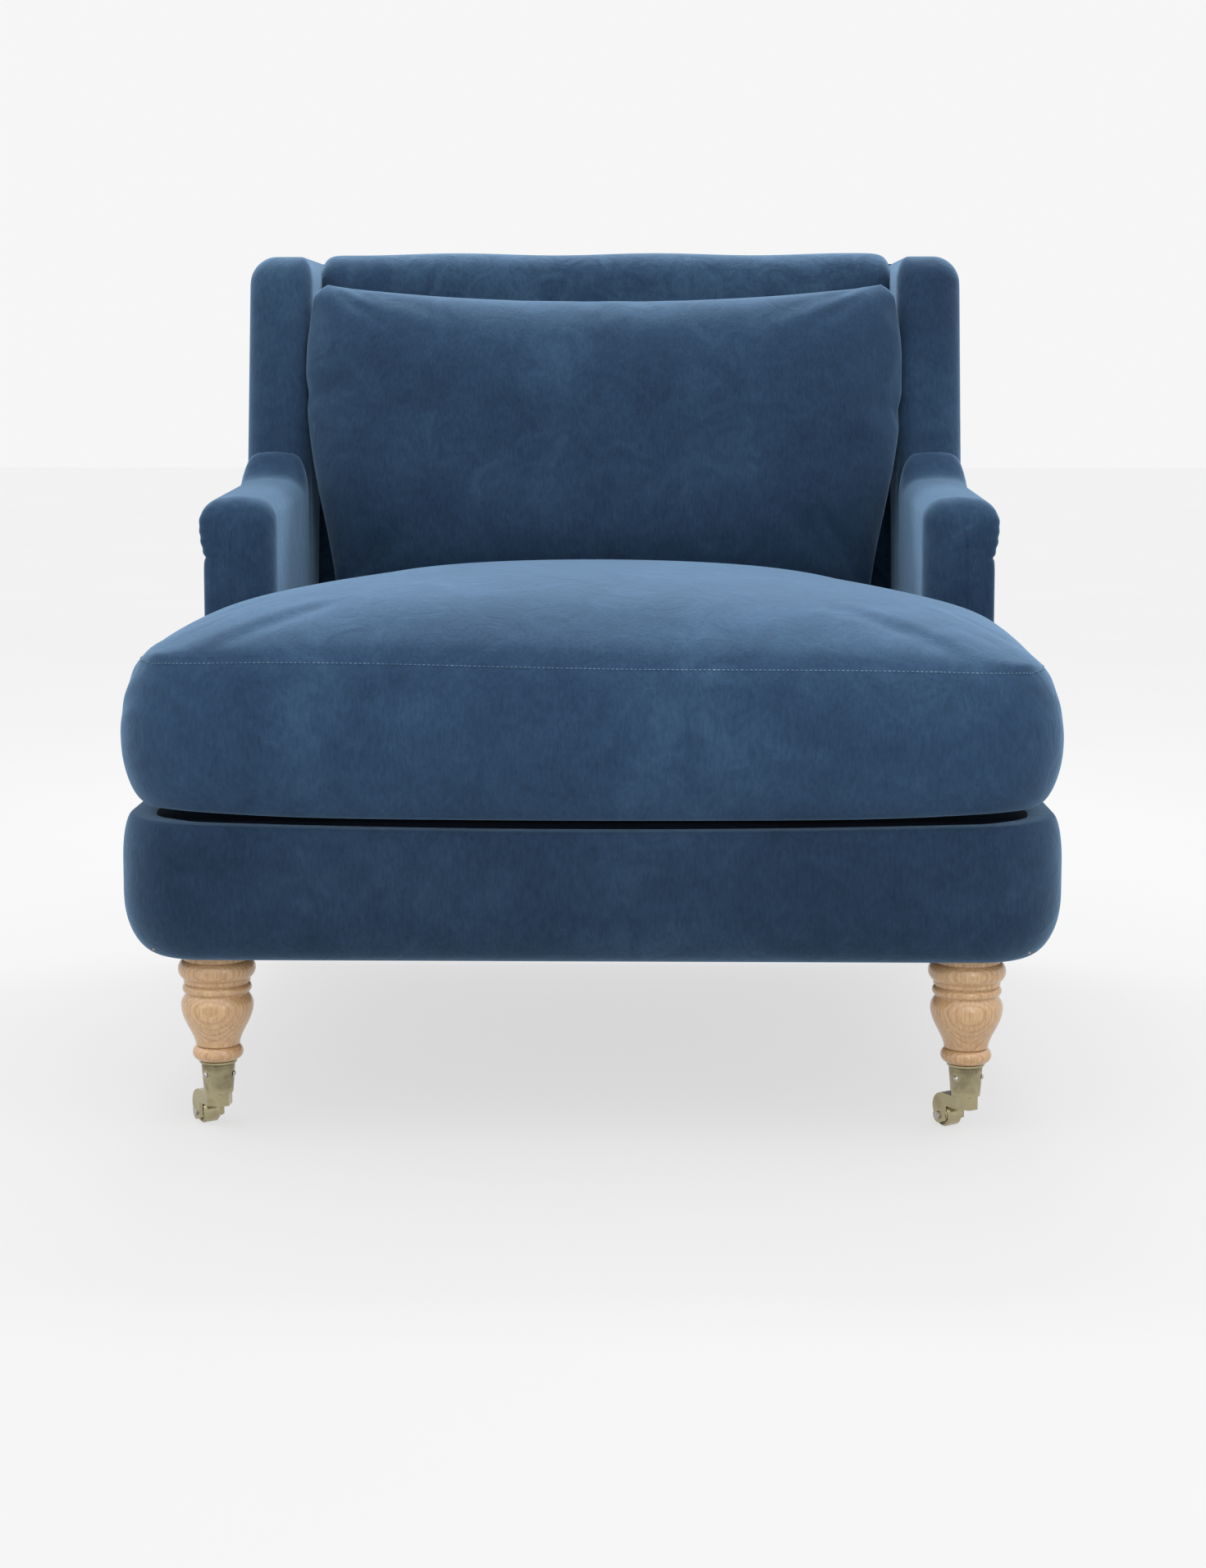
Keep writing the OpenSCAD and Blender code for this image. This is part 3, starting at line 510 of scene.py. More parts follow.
def base_plan():
    """The base's outline seen from above, from its rear left round the front to its rear right."""
    r = 0.085
    rear = out_y(BASE_BOTTOM) - 0.004
    ease, step = 0.05, 0.03
    side = []
    for y in np.arange(rear, ARM_FRONT + ease, -step):
        side.append((ARM_HALF, y))
    for t in np.linspace(0, 1, 9):
        s = t * t * (3 - 2 * t)
        side.append((ARM_HALF + (BASE_HALF - ARM_HALF) * s, ARM_FRONT + ease * (1 - 2 * t)))
    for y in np.arange(ARM_FRONT - ease - step, BASE_FRONT + r, -step):
        side.append((BASE_HALF, y))
    for t in np.linspace(0, math.pi / 2, 15):
        side.append((BASE_HALF - r + r * math.cos(t), BASE_FRONT + r - r * math.sin(t)))
    side = np.array(side)
    inner = np.arange(BASE_HALF - r - step, -BASE_HALF + r + 0.01, -step)
    front = np.column_stack([inner, np.full(len(inner), BASE_FRONT)])
    return np.vstack([side, front, side[::-1] * [-1, 1]])


def swept(name, plan, section):
    """Sweeps a closed section of (out, z) points, given for each place, along a plan of (x, y) points."""
    ahead = np.gradient(plan, axis=0)
    ahead /= np.linalg.norm(ahead, axis=1, keepdims=True)
    normal = np.column_stack([-ahead[:, 1], ahead[:, 0]])
    if normal[0, 0] < 0:
        normal = -normal
    rings = []
    for p, n in zip(plan, normal):
        rings.append([(p[0] + n[0] * o, p[1] + n[1] * o, z) for o, z in section(p[1])])
    return tube_of_rings(name, rings)


def base_section(y):
    """The band's outline at y: full and soft ahead of the arms, flat and square-edged behind them."""
    full = float(smooth((ARM_FRONT + 0.01 - y) / 0.09))
    top_out, top_r = 0.003 + 0.010 * full, 0.010 + 0.035 * full
    low_out, low_r = 0.004 + 0.032 * full, 0.010 + 0.050 * full
    z0, z1 = BASE_BOTTOM - 0.005 * full, BASE_TOP - 0.0008
    outer = [(-0.045, z1), (-0.030, z1), (-0.021, z1 - 0.0004)]
    for t in np.linspace(0.18, math.pi / 2, 9):
        outer.append((-top_out + top_out * math.sin(t) ** 0.8, z1 - top_r + top_r * math.cos(t) ** 1.1))
    for t in np.linspace(0.15, 0.85, 5):
        outer.append((0, z1 - top_r + (z0 + low_r - z1 + top_r) * t))
    for t in np.linspace(0, math.pi / 2, 11):
        outer.append((-low_out + low_out * math.cos(t), z0 + low_r - low_r * math.sin(t)))
    outer.append((-0.047, z0 + 0.004 * full))
    inner = [(min(o - COVER, -0.006) if o > -0.04 else o,
              z + (COVER if z < z0 + 0.01 else -COVER if z > z1 - 0.01 else 0)) for o, z in outer]
    return outer + inner[::-1]


band = swept("base_band", base_plan(), base_section)
shape = coords(band)
shape[:, 1] += (shape[:, 2] - BASE_BOTTOM) * LEAN * smooth((shape[:, 1] - out_y(BASE_BOTTOM) + 0.12) / 0.11)
middle = np.clip(1 - (shape[:, 0] / BASE_HALF) ** 2, 0, 1) * smooth((BASE_FRONT + 0.10 - shape[:, 1]) / 0.08)
shape[:, 2] -= 0.009 * middle * smooth((shape[:, 2] - BASE_TOP + 0.05) / 0.05)
set_coords(band, shape)
modify(band, "SUBSURF", levels=1, render_levels=1)
apply_all(band)
# painted shade: the band wears the darker copy of the velvet
piece(band, "chair", SHADED, ["base_cover", "base_padding"])

# ------------------------------------------------------------------ arms


def arm_outline():
    """End view of the right arm at its front: up the inner side, over the top, round the roll, and down."""
    inner = INNER_HALF + 0.0005
    roll_x = ARM_HALF + ARM_ROLL_OUT - ARM_ROLL_R
    low = DECK_BOTTOM + 0.002
    out = ARM_HALF - 0.0008
    points = [(inner, z) for z in np.linspace(low, ARM_TOP - ARM_INNER_R, 16)[:-1]]
    for t in np.linspace(0, math.pi / 2, 9):
        points.append((inner + ARM_INNER_R * (1 - math.cos(t)), ARM_TOP - ARM_INNER_R * (1 - math.sin(t))))
    flat = roll_x - inner - ARM_INNER_R
    for t in np.linspace(0, 1, 6)[1:-1]:
        points.append((inner + ARM_INNER_R + flat * t, ARM_TOP + 0.0015 * math.sin(math.pi * t)))
    for t in np.linspace(0, math.radians(100), 11):
        points.append((roll_x + ARM_ROLL_R * math.sin(t), ARM_TOP - ARM_ROLL_R + ARM_ROLL_R * math.cos(t)))
    roll = points[-1]
    for t in np.linspace(0, 1, 9)[1:]:
        bow = 0.0010 * math.sin(math.pi * t)
        points.append((roll[0] + (out - roll[0]) * t + bow, roll[1] + (GROOVE + 0.003 - roll[1]) * t))
    points += [(out - 0.0024, GROOVE + 0.0008), (out - 0.0024, GROOVE - 0.0008)]
    points += [(out, z) for z in np.linspace(GROOVE - 0.003, low, 14)]
    points += [(out + (inner - out) * t, low) for t in np.linspace(0, 1, 6)[1:-1]]
    return np.array(points)


def arm_rings():
    """Rings from a line up the middle of the padded front, over its soft edge, back into the wing."""
    full = arm_outline()
    spine = np.column_stack([np.full(len(full), INNER_HALF + 0.050),
                             np.clip(full[:, 1], DECK_BOTTOM + 0.03, ARM_TOP - 0.037)])
    ray = full - spine
    length = np.linalg.norm(ray, axis=1)
    lean = ray / length[:, None]
    inward = smooth(0.5 - lean[:, 0] * 0.9)
    up = np.clip(lean[:, 1], 0, 1) ** 2
    soft = 0.012 + (0.046 - 0.012) * inward
    soft = soft + (0.030 - soft) * up
    soft = np.minimum(soft, length * 0.94)
    rings = []
    for share in (0.3, 0.6, 0.85):
        place = spine + ray * ((1 - soft / length) * share)[:, None]
        rings.append(np.column_stack([place[:, 0], np.full(len(full), -0.002 * (1 - share)), place[:, 1]]))
    for t in np.linspace(0, math.pi / 2, 12):
        place = spine + ray * (1 - soft / length * (1 - math.sin(t)))[:, None]
        rings.append(np.column_stack([place[:, 0], soft * 0.9 * (1 - math.cos(t)), place[:, 1]]))
    far = (out_y(ARM_TOP) - WING_T) - ARM_FRONT + 0.02
    for y in np.linspace(0.046, far, 26):
        rings.append(np.column_stack([full[:, 0], np.full(len(full), y), full[:, 1]]))
    rings = np.array(rings)
    # behind the front's cover the outside is cut back for the outside panel
    behind = (rings[..., 1] > PANEL_FROM + 0.002) & (rings[..., 2] < GROOVE + 0.001)
    rings[..., 0] = np.where(behind, np.minimum(rings[..., 0], ARM_HALF - COVER - GAP), rings[..., 0])
    rings[:, :, 1] += ARM_FRONT
    return rings


def climb(rings):
    """Raises the arm towards the back, and sweeps its top up into the wing in a small hollow curve."""
    sweep = 0.040
    y = rings[..., 1]
    wing = out_y(rings[..., 2]) - WING_T
    near = np.clip((y - (wing - sweep)) / sweep, 0, 1)
    high = np.clip((rings[..., 2] - (GROOVE - 0.02)) / 0.02, 0, 1)
    top_only = smooth((rings[..., 2] - (ARM_TOP - 0.03)) / 0.03)
    lift = (y - ARM_FRONT) * math.tan(ARM_SLOPE) * high
    rings[..., 2] += lift + sweep * 0.9 * (1 - np.sqrt(1 - near ** 2 * 0.98)) * top_only
    return rings


def pleats(rings):
    """Small gathers below the roll, where the cover of the arm's front turns on to its outside."""
    x, y, z = rings[..., 0], rings[..., 1] - ARM_FRONT, rings[..., 2]
    outside = smooth((x - (ARM_HALF - 0.012)) / 0.008)
    tall = smooth((z - GROOVE) / 0.012) * smooth((ARM_TOP - 0.012 - z) / 0.012)
    along = np.exp(-((y - 0.012) / 0.022) ** 2)
    fold = np.abs(np.sin((z - GROOVE) * math.pi / 0.0125 + y * 30)) - 0.6
    rings[..., 0] += 0.0022 * fold * outside * tall * along
    return rings


def mirrored(rings, side):
    rings = np.array(rings)
    rings[..., 0] *= side
    return rings


def soft_skin(name, rings):
    obj = tube_of_rings(name, rings)
    modify(obj, "SUBSURF", levels=1, render_levels=1)
    apply_all(obj)
    return obj


for side, word in ((-1, "left"), (1, "right")):
    arm = soft_skin(f"{word}_arm", mirrored(pleats(climb(arm_rings())), side))
    piece(arm, "chair", VELVET, [f"{word}_arm_cover", f"{word}_arm_pad"])

# ------------------------------------------------------------------ wings


def wing_ring(z, inset):
    """The right wing's outline at height z, moved in by inset."""
    front = out_y(z) - WING_T + inset
    back = out_y(z) - COVER - GAP - inset * 0.4
    inner = INNER_HALF + inset * 0.5
    outer = ARM_HALF - inset
    r = [max(q - inset, 0.004) for q in (0.026, 0.034, 0.010, 0.008)]
    outline = rounded_outline([(inner, front), (outer, front), (outer, back), (inner, back)], r, 7, 8)
    return [(x, y, z) for x, y in outline]


def wing_rings():
    edge = 0.034
    rings = [wing_ring(z, 0) for z in np.linspace(DECK_BOTTOM + 0.001, TOP - edge, 32)]
    for t in np.linspace(0, math.pi / 2, 10)[1:]:
        rings.append(wing_ring(TOP - edge + edge * math.sin(t), edge * (1 - math.cos(t))))
    rings = np.array(rings)
    # the outer side is cut back below the groove, where the outside arm panel lies
    line = GROOVE + 0.004 + (rings[..., 1] - ARM_FRONT) * math.tan(ARM_SLOPE)
    under = np.clip((line - rings[..., 2]) / 0.005, 0, 1)
    rings[..., 0] = np.minimum(rings[..., 0], ARM_HALF - (COVER + 2 * GAP) * under)
    return rings


for side, word in ((-1, "left"), (1, "right")):
    wing = soft_skin(f"{word}_wing", mirrored(wing_rings(), side))
    piece(wing, "chair", VELVET, [f"{word}_wing_cover", f"{word}_wing_pad"])

# ------------------------------------------------------------------ back


def inside_back():
    """The padded inside of the back: a gently crowned face that rolls over the top."""
    half = INNER_HALF + 0.002
    edge = 0.034
    front = -BACK_T + 0.004
    rings = []
    for share in np.sin(np.linspace(-1, 1, 70) * math.pi / 2):
        x = half * share
        sink = 0.012 * abs(share) ** 40
        top = TOP + 0.008 - 0.014 * abs(share) ** 60 + 0.0014 * math.sin(9 * share)
        ring = []
        for z in np.linspace(DECK_BOTTOM + 0.002, top - edge, 24):
            crown = 0.007 * math.sin(math.pi * (z - DECK_BOTTOM) / (top - DECK_BOTTOM)) * (1 - share ** 4)
            ring.append((x, out_y(z) + front - crown + sink, z))
        for t in np.linspace(0, math.pi / 2, 9)[1:]:
            z = top - edge + edge * math.sin(t)
            ring.append((x, out_y(z) + front + sink + edge * (1 - math.cos(t)), z))
        y0 = out_y(top) + front + sink + edge
        y1 = out_y(top) - COVER - GAP - 0.008
        ring += [(x, y0 + (y1 - y0) * q, top) for q in np.linspace(0, 1, 7)[1:]]
        for t in np.linspace(0, math.pi / 2, 4)[1:]:
            z = top - 0.007 + 0.007 * math.cos(t)
            ring.append((x, out_y(z) - COVER - GAP - 0.001 - 0.007 * (1 - math.sin(t)), z))
        down = np.linspace(top - 0.02, DECK_BOTTOM + 0.002, 12)
        ring += [(x, out_y(z) - COVER - GAP - 0.001, z) for z in down]
        rings.append(ring)
    return rings


back = soft_skin("inside_back", inside_back())
CRUSHED = velvet("crushed_velvet", *BLUES, crushed=1.7)
piece(back, "chair", CRUSHED, ["inside_back_cover", "back_pad"])

# ------------------------------------------------------------------ flat outside panels


def panel(name, corners, outward, thick, swell, counts):
    """A thin padded panel over four corners, its edges turned under, its middle swelling outward."""
    a, b, c, d = (np.array(p, float) for p in corners)
    outward = np.array(outward, float)
    us = (1 - np.cos(np.linspace(0, math.pi, counts[0]))) / 2
    vs = (1 - np.cos(np.linspace(0, math.pi, counts[1]))) / 2
    verts = []
    for height in (1, 0):
        for v in vs:
            for u in us:
                low, high = a + (b - a) * u, d + (c - d) * u
                rim = min(u * np.linalg.norm(b - a), (1 - u) * np.linalg.norm(b - a),
                          v * np.linalg.norm(d - a), (1 - v) * np.linalg.norm(d - a))
                rise = thick * math.sqrt(1 - (1 - min(rim / thick, 1)) ** 2) if height else 0
                puff = swell * math.sin(math.pi * u) ** 0.6 * math.sin(math.pi * v) ** 0.6 if height else 0
                verts.append(low + (high - low) * v + outward * (rise + puff))
    size = counts[0] * counts[1]
    faces = grid_faces(counts[1], counts[0]) + grid_faces(counts[1], counts[0], start=size)
    cols, rows = counts
    edge = [i for i in range(cols)] + [r * cols + cols - 1 for r in range(1, rows)]
    edge += [(rows - 1) * cols + i for i in range(cols - 2, -1, -1)]
    edge += [r * cols for r in range(rows - 2, 0, -1)]
    for p, q in zip(edge, edge[1:] + edge[:1]):
        faces.append((p, q, q + size, p + size))
    return link(name, verts, faces)


for side, word in ((-1, "left"), (1, "right")):
    low_rear, high_rear = out_y(BASE_TOP) - 0.004, panel_high.y
    x = side * (ARM_HALF - COVER)
    rise = math.tan(ARM_SLOPE) * (high_rear - ARM_FRONT)
    corners = [(x, ARM_FRONT + PANEL_FROM, BASE_TOP + 0.001), (x, low_rear, BASE_TOP + 0.001),
               (x, high_rear, GROOVE + rise - 0.001), (x, ARM_FRONT + PANEL_FROM, GROOVE - 0.001)]
    board = panel(f"{word}_arm_panel", corners, (side, 0, 0), COVER, 0.0012, (60, 30))
    piece(board, "chair", VELVET, [f"{word}_outside_arm"])

lean_out = (0, math.cos(RAKE), -math.sin(RAKE))
rear_half = ARM_HALF - 0.001
low_y, high_y = out_y(BASE_BOTTOM) - COVER, out_y(TOP) - COVER
corners = [(-rear_half, low_y, BASE_BOTTOM), (rear_half, low_y, BASE_BOTTOM),
           (rear_half, high_y, TOP - 0.001), (-rear_half, high_y, TOP - 0.001)]
back_board = panel("outside_back", corners, lean_out, COVER, 0.0015, (80, 60))
shape = coords(back_board)
corner_r = 0.032
aside = np.clip((np.abs(shape[:, 0]) - rear_half + corner_r) / corner_r, 0, 1)
above = np.clip((shape[:, 2] - TOP + 0.001 + corner_r) / corner_r, 0, 1)
near = (aside > 0) & (above > 0)
drop = corner_r * above * (1 - np.sqrt(1 - aside ** 2 / 2)) * near
shape[:, 0] -= np.sign(shape[:, 0]) * corner_r * aside * (1 - np.sqrt(1 - above ** 2 / 2)) * near
shape[:, 1] -= drop * LEAN
shape[:, 2] -= drop
set_coords(back_board, shape)
piece(back_board, "chair", VELVET, ["outside_back_cover"])

# ------------------------------------------------------------------ T-shaped pieces


class Tee:
    """A grid over a T seen from above: ears as wide as the seat in front, a stem between the arms behind."""

    def __init__(self, ear, stem, front, shoulder, back, cell):
        self.ear, self.stem, self.front, self.shoulder, self.back = ear, stem, front, shoulder, back
        lengths = (ear - stem, 2 * stem, shoulder - front, back - shoulder)
        self.n_ear, n_stem, self.n_front, n_rear = (max(2, round(length / cell)) for length in lengths)
        xs = np.concatenate([np.linspace(-ear, -stem, self.n_ear + 1)[:-1],
                             np.linspace(-stem, stem, n_stem + 1)[:-1],
                             np.linspace(stem, ear, self.n_ear + 1)])
        ys = np.concatenate([np.linspace(front, shoulder, self.n_front + 1)[:-1],
                             np.linspace(shoulder, back, n_rear + 1)])
        self.nx, self.ny = len(xs), len(ys)
        self.x, self.y = np.meshgrid(xs, ys)
        self.inside = (self.y <= shoulder + 1e-6) | (np.abs(self.x) <= stem + 1e-6)
        self.inner = (self.y < shoulder - 1e-6) & (self.y > front + 1e-6) & (np.abs(self.x) < ear - 1e-6)
        self.inner |= (self.y >= shoulder - 1e-6) & (self.y < back - 1e-6) & (np.abs(self.x) < stem - 1e-6)

    def round_corners(self, front_r, ear_r, rear_r):
        """Turns the square corners of the outline into arcs."""
        for side in (-1, 1):
            for cx, cy, sy, r in ((self.ear, self.front, -1, front_r), (self.ear, self.shoulder, 1, ear_r),
                                  (self.stem, self.back, 1, rear_r)):
                u = np.clip((side * (self.x - side * cx) + r) / r, 0, 1)
                v = np.clip((sy * (self.y - cy) + r) / r, 0, 1)
                near = (u > 0) & (v > 0) & self.inside
                x = np.where(near, side * (cx - r + r * u * np.sqrt(1 - v * v / 2)), self.x)
                y = np.where(near, cy + sy * (r * v * np.sqrt(1 - u * u / 2) - r), self.y)
                self.x, self.y = x, y

    def rim(self):
        """Grid places round the outline, anticlockwise seen from above, from the front left corner."""
        a, b, f = self.n_ear, self.nx - self.n_ear - 1, self.n_front
        walk = [(0, i) for i in range(self.nx)] + [(j, self.nx - 1) for j in range(1, f + 1)]
        walk += [(f, i) for i in range(self.nx - 2, b - 1, -1)] + [(j, b) for j in range(f + 1, self.ny)]
        walk += [(self.ny - 1, i) for i in range(b - 1, a - 1, -1)]
        walk += [(j, a) for j in range(self.ny - 2, f - 1, -1)]
        return walk + [(f, i) for i in range(a - 1, -1, -1)] + [(j, 0) for j in range(f - 1, 0, -1)]


def membrane(mask, turns=2500):
    """Height of a membrane under even pressure over the masked cells, 0 at the rim and 1 at its highest."""
    h = np.zeros(mask.shape)
    for _ in range(turns):
        h[1:-1, 1:-1] = 0.25 * (h[:-2, 1:-1] + h[2:, 1:-1] + h[1:-1, :-2] + h[1:-1, 2:]) + 1e-3
        h[~mask] = 0
    return h / h.max()


def boxed(name, tee, top_z, low_z, rows, bow):
    """A boxed cushion over a T: top and bottom panels, and a border of rows between their seams.

    bow(x, y, nx, ny, t) says how far the border stands out along its normal at height t."""
    verts, faces, tables = [], [], []
    for z in (top_z, low_z):
        table = -np.ones((tee.ny, tee.nx), int)
        for j, i in zip(*np.nonzero(tee.inside)):
            table[j, i] = len(verts)
            verts.append((tee.x[j, i], tee.y[j, i], z[j, i]))
        for j in range(tee.ny - 1):
            for i in range(tee.nx - 1):
                quad = (table[j, i], table[j, i + 1], table[j + 1, i + 1], table[j + 1, i])
                if min(quad) >= 0:
                    faces.append(quad)
        tables.append(table)
    top_loop, low_loop = ([int(table[p]) for p in tee.rim()] for table in tables)
    top, low = np.array([verts[k] for k in top_loop]), np.array([verts[k] for k in low_loop])
    ahead = np.roll(top, -1, axis=0) - np.roll(top, 1, axis=0)
    normal = np.column_stack([ahead[:, 1], -ahead[:, 0]])
    normal /= np.linalg.norm(normal, axis=1, keepdims=True)
    previous = low_loop
    for k in range(1, rows + 1):
        t = k / rows
        if k == rows:
            loop = top_loop
        else:
            row = low + (top - low) * t
            row[:, :2] += normal * bow(row[:, 0], row[:, 1], normal[:, 0], normal[:, 1], t)[:, None]
            loop = list(range(len(verts), len(verts) + len(row)))
            verts += [tuple(p) for p in row]
        for p, q, r, w in zip(previous, previous[1:] + previous[:1], loop[1:] + loop[:1], loop):
            faces.append((p, q, r, w))
        previous = loop
    return link(name, verts, faces), top_loop, low_loop, [int(k) for k in tables[1][tables[1] >= 0]]


def stitches(name, path, normal, pitch, length, radius, seed):
    """Short threads along a closed path, each half sunk in the cloth."""
    draw = np.random.default_rng(seed)
    path = np.asarray(path)
    step = np.linalg.norm(np.roll(path, -1, axis=0) - path, axis=1)
    along = np.concatenate([[0], np.cumsum(step)])
    closed = np.vstack([path, path[:1]])
    facing = np.vstack([normal, normal[:1]])
    verts, faces = [], []
    for s in np.arange(0, along[-1] - pitch, pitch):
        size = length * draw.uniform(0.75, 1.15)
        ends = [np.array([np.interp(s + d, along, closed[:, c]) for c in range(3)]) for d in (0, size)]
        out = np.array([np.interp(s, along, facing[:, c]) for c in range(3)])
        ahead = ends[1] - ends[0]
        ahead /= np.linalg.norm(ahead)
        across = np.cross(ahead, out)
        thick = radius * draw.uniform(0.7, 1.15)
        start = len(verts)
        for q, swell in ((0, 0.35), (0.2, 0.95), (0.8, 0.95), (1, 0.35)):
            centre = ends[0] + (ends[1] - ends[0]) * q + out * thick * 0.25
            for a in np.arange(6) * math.pi / 3:
                verts.append(centre + (across * math.cos(a) + out * math.sin(a)) * thick * swell)
        faces += grid_faces(4, 6, wrap=True, start=start)
        faces += [tuple(range(start, start + 6)), tuple(range(start + 18, start + 24))]
    return link(name, verts, faces)


def plan_normal(path):
    ahead = np.roll(path, -1, axis=0) - np.roll(path, 1, axis=0)
    normal = np.column_stack([ahead[:, 1], -ahead[:, 0], np.zeros(len(path))])
    return normal / np.linalg.norm(normal, axis=1, keepdims=True)


THREAD = velvet("thread", (0.06, 0.11, 0.17), (0.12, 0.19, 0.27), (0.22, 0.32, 0.42))

# ------------------------------------------------------------------ seat deck


def no_bow(x, y, nx, ny, t):
    """A border that stands straight between its seams."""
    return 0 * x


DECK_IN = 0.022
deck_tee = Tee(BASE_HALF - DECK_IN, INNER_HALF - 0.001, BASE_FRONT + DECK_IN, ARM_FRONT - 0.004,
               out_y(DECK_BOTTOM) - BACK_T - 0.002, 0.016)
deck_tee.round_corners(0.066, 0.006, 0.006)
deck_top = np.where(deck_tee.inner, BASE_TOP - 0.0005, BASE_TOP - 0.004)
deck_low = np.full(deck_top.shape, DECK_BOTTOM + 0.001)
deck = boxed("seat_deck", deck_tee, deck_top, deck_low, 2, no_bow)[0]
# painted shadow: the deck wears the near-black cloth
piece(deck, "chair", DECK_SHADOW, ["deck_pad"])

# ------------------------------------------------------------------ seat cushion

SEAT_E, SEAT_F, SEAT_B = seat_high.x, seat_low.y, seat_high.y
SEAT_S = INNER_HALF - 0.003
SEAT_EB = ARM_FRONT - 0.003
SEAT_Z0 = seat_low.z
BORDER_H = 0.145
SEAT_SEAM = SEAT_Z0 + BORDER_H
SEAT_CROWN = seat_high.z - SEAT_SEAM
SEAM_IN = 0.017  # the top seam lies this far inside the border's fullest line
LEDGE = 0.088  # the strip at the rear that the back cushion stands on
BORDER_BOW = 0.019


def seat_bow(x, y, nx, ny, t):
    """The border stands out most in front and at the ears, and is flat between the arms and at the zip."""
    most = np.where(ny > 0.5, np.where(y > SEAT_EB + 0.1, 0.0, 0.003), BORDER_BOW)
    most = np.where((np.abs(nx) > 0.5) & (y > SEAT_EB + 0.004), 0.0015, most)
    bow = most * (1 - abs(2 * t ** 0.9 - 1) ** 2.1)
    for side, depth in ((-1, 0.0022), (1, 0.0010)):
        away = np.hypot(x - side * SEAT_E, y - SEAT_F)
        fold = np.sin((away * 0.8 + t * BORDER_H * 0.9) * 2 * math.pi / 0.030)
        bow = bow + depth * fold * np.exp(-(away / 0.085) ** 2) * smooth((t - 0.35) / 0.4)
    return bow


def seat_cushion():
    """Filled to a crown that starts behind the front seam and ends where the back cushion stands."""
    tee = Tee(SEAT_E - SEAM_IN, SEAT_S, SEAT_F + SEAM_IN, SEAT_EB, SEAT_B, 0.009)
    dome = membrane(tee.inner & (tee.y < SEAT_B - LEDGE)) ** 0.52
    tee.round_corners(0.070, 0.030, 0.020)
    ahead = tee.y - tee.front
    beside = tee.ear - np.abs(tee.x)
    ears = smooth((SEAT_EB + 0.02 - tee.y) / 0.04)
    rim = np.maximum(np.exp(-(ahead / 0.035) ** 2), np.exp(-(beside / 0.035) ** 2) * ears)
    corner = np.exp(-(ahead ** 2 + beside ** 2) / 0.11 ** 2)
    left_high = 0.008 * smooth((0.1 - tee.x) / 0.5) * smooth(1 - ahead / 0.3)
    top = SEAT_SEAM + left_high - 0.003 * corner + (SEAT_CROWN + 0.005) * dome
    top += 0.004 * dome * np.exp(-(ahead / 0.3) ** 2) * np.sin(-5 * tee.x)
    middle = np.clip(1 - (tee.x / tee.ear) ** 2, 0, 1)
    low = SEAT_Z0 + 0.0005 + 0.0025 * rim + 0.006 * corner - 0.005 * middle * np.exp(-(ahead / 0.02) ** 2)
    return boxed("seat_cushion", tee, top, low, 16, seat_bow)


seat, seat_top_seam, seat_low_seam, seat_under = seat_cushion()
held = coords(seat)
beside_arms = (np.abs(held[:, 0]) > SEAT_S - 0.004) & (held[:, 1] > SEAT_EB)
still = np.nonzero((held[:, 1] > SEAT_B - LEDGE) | beside_arms)[0]
pins = {0.06: range(len(held)), 0.8: seat_top_seam, 0.9: seat_low_seam, 1.0: [*seat_under, *still]}
inflate(seat, 2.5, pins, 0.006)
shape = coords(seat)
for loop, depth in ((seat_top_seam, 0.0022), (seat_low_seam, 0.0015)):
    shape[loop] -= plan_normal(shape[loop]) * depth
set_coords(seat, shape)
modify(seat, "SUBSURF", levels=1, render_levels=1)
apply_all(seat)
# painted light: the seat cushion wears the lighter copy of the velvet
piece(seat, "seat_cushion", LIT_VELVET, ["seat_cushion_cover", "seat_cushion_core"])

seam = coords(seat)[seat_top_seam]
seam_out = plan_normal(seam)
seam_line = seam + seam_out * 0.0009 + [0, 0, -0.0006]
thread = stitches("seat_top_stitches", seam_line, seam_out, 0.0044, 0.0029, radius=0.00055, seed=11)
piece(thread, "seat_cushion", THREAD)


def zip_strip():
    """Two tapes with teeth between them, over the zip in the rear border; the CAD's slider stays."""
    low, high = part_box("seat_zip_tape")
    y = SEAT_B + 0.0002
    middle = (low.z + high.z) / 2
    chain_half, tooth, pitch = 0.0022, 0.0014, 0.0022
    blocks = [(low.x, high.x, low.z, middle - chain_half, 0.0007),
              (low.x, high.x, middle + chain_half, high.z, 0.0007)]
    for x in np.arange(low.x, high.x - 0.002, pitch):
        blocks.append((x, x + tooth, middle - 0.0021, middle + 0.0021, 0.0011))
    verts, faces = [], []
    for x0, x1, z0, z1, deep in blocks:
        start = len(verts)
        verts += [(x, y + d, z) for d in (0, deep) for z in (z0, z1) for x in (x0, x1)]
        sides = ((0, 1, 3, 2), (4, 6, 7, 5), (0, 4, 5, 1), (2, 3, 7, 6), (0, 2, 6, 4), (1, 5, 7, 3))
        faces += [tuple(start + k for k in side) for side in sides]
    return link("seat_zip", verts, faces, soft_shading=False)


piece(zip_strip(), "seat_cushion", LOOKS["zip_tape"], ["seat_zip_tape"])

# ------------------------------------------------------------------ back cushion


PILLOW_AHEAD = 0.066
PILLOW_BEHIND = 0.078
PILLOW_STAND = 0.090  # from the inside of the back to the cushion's middle


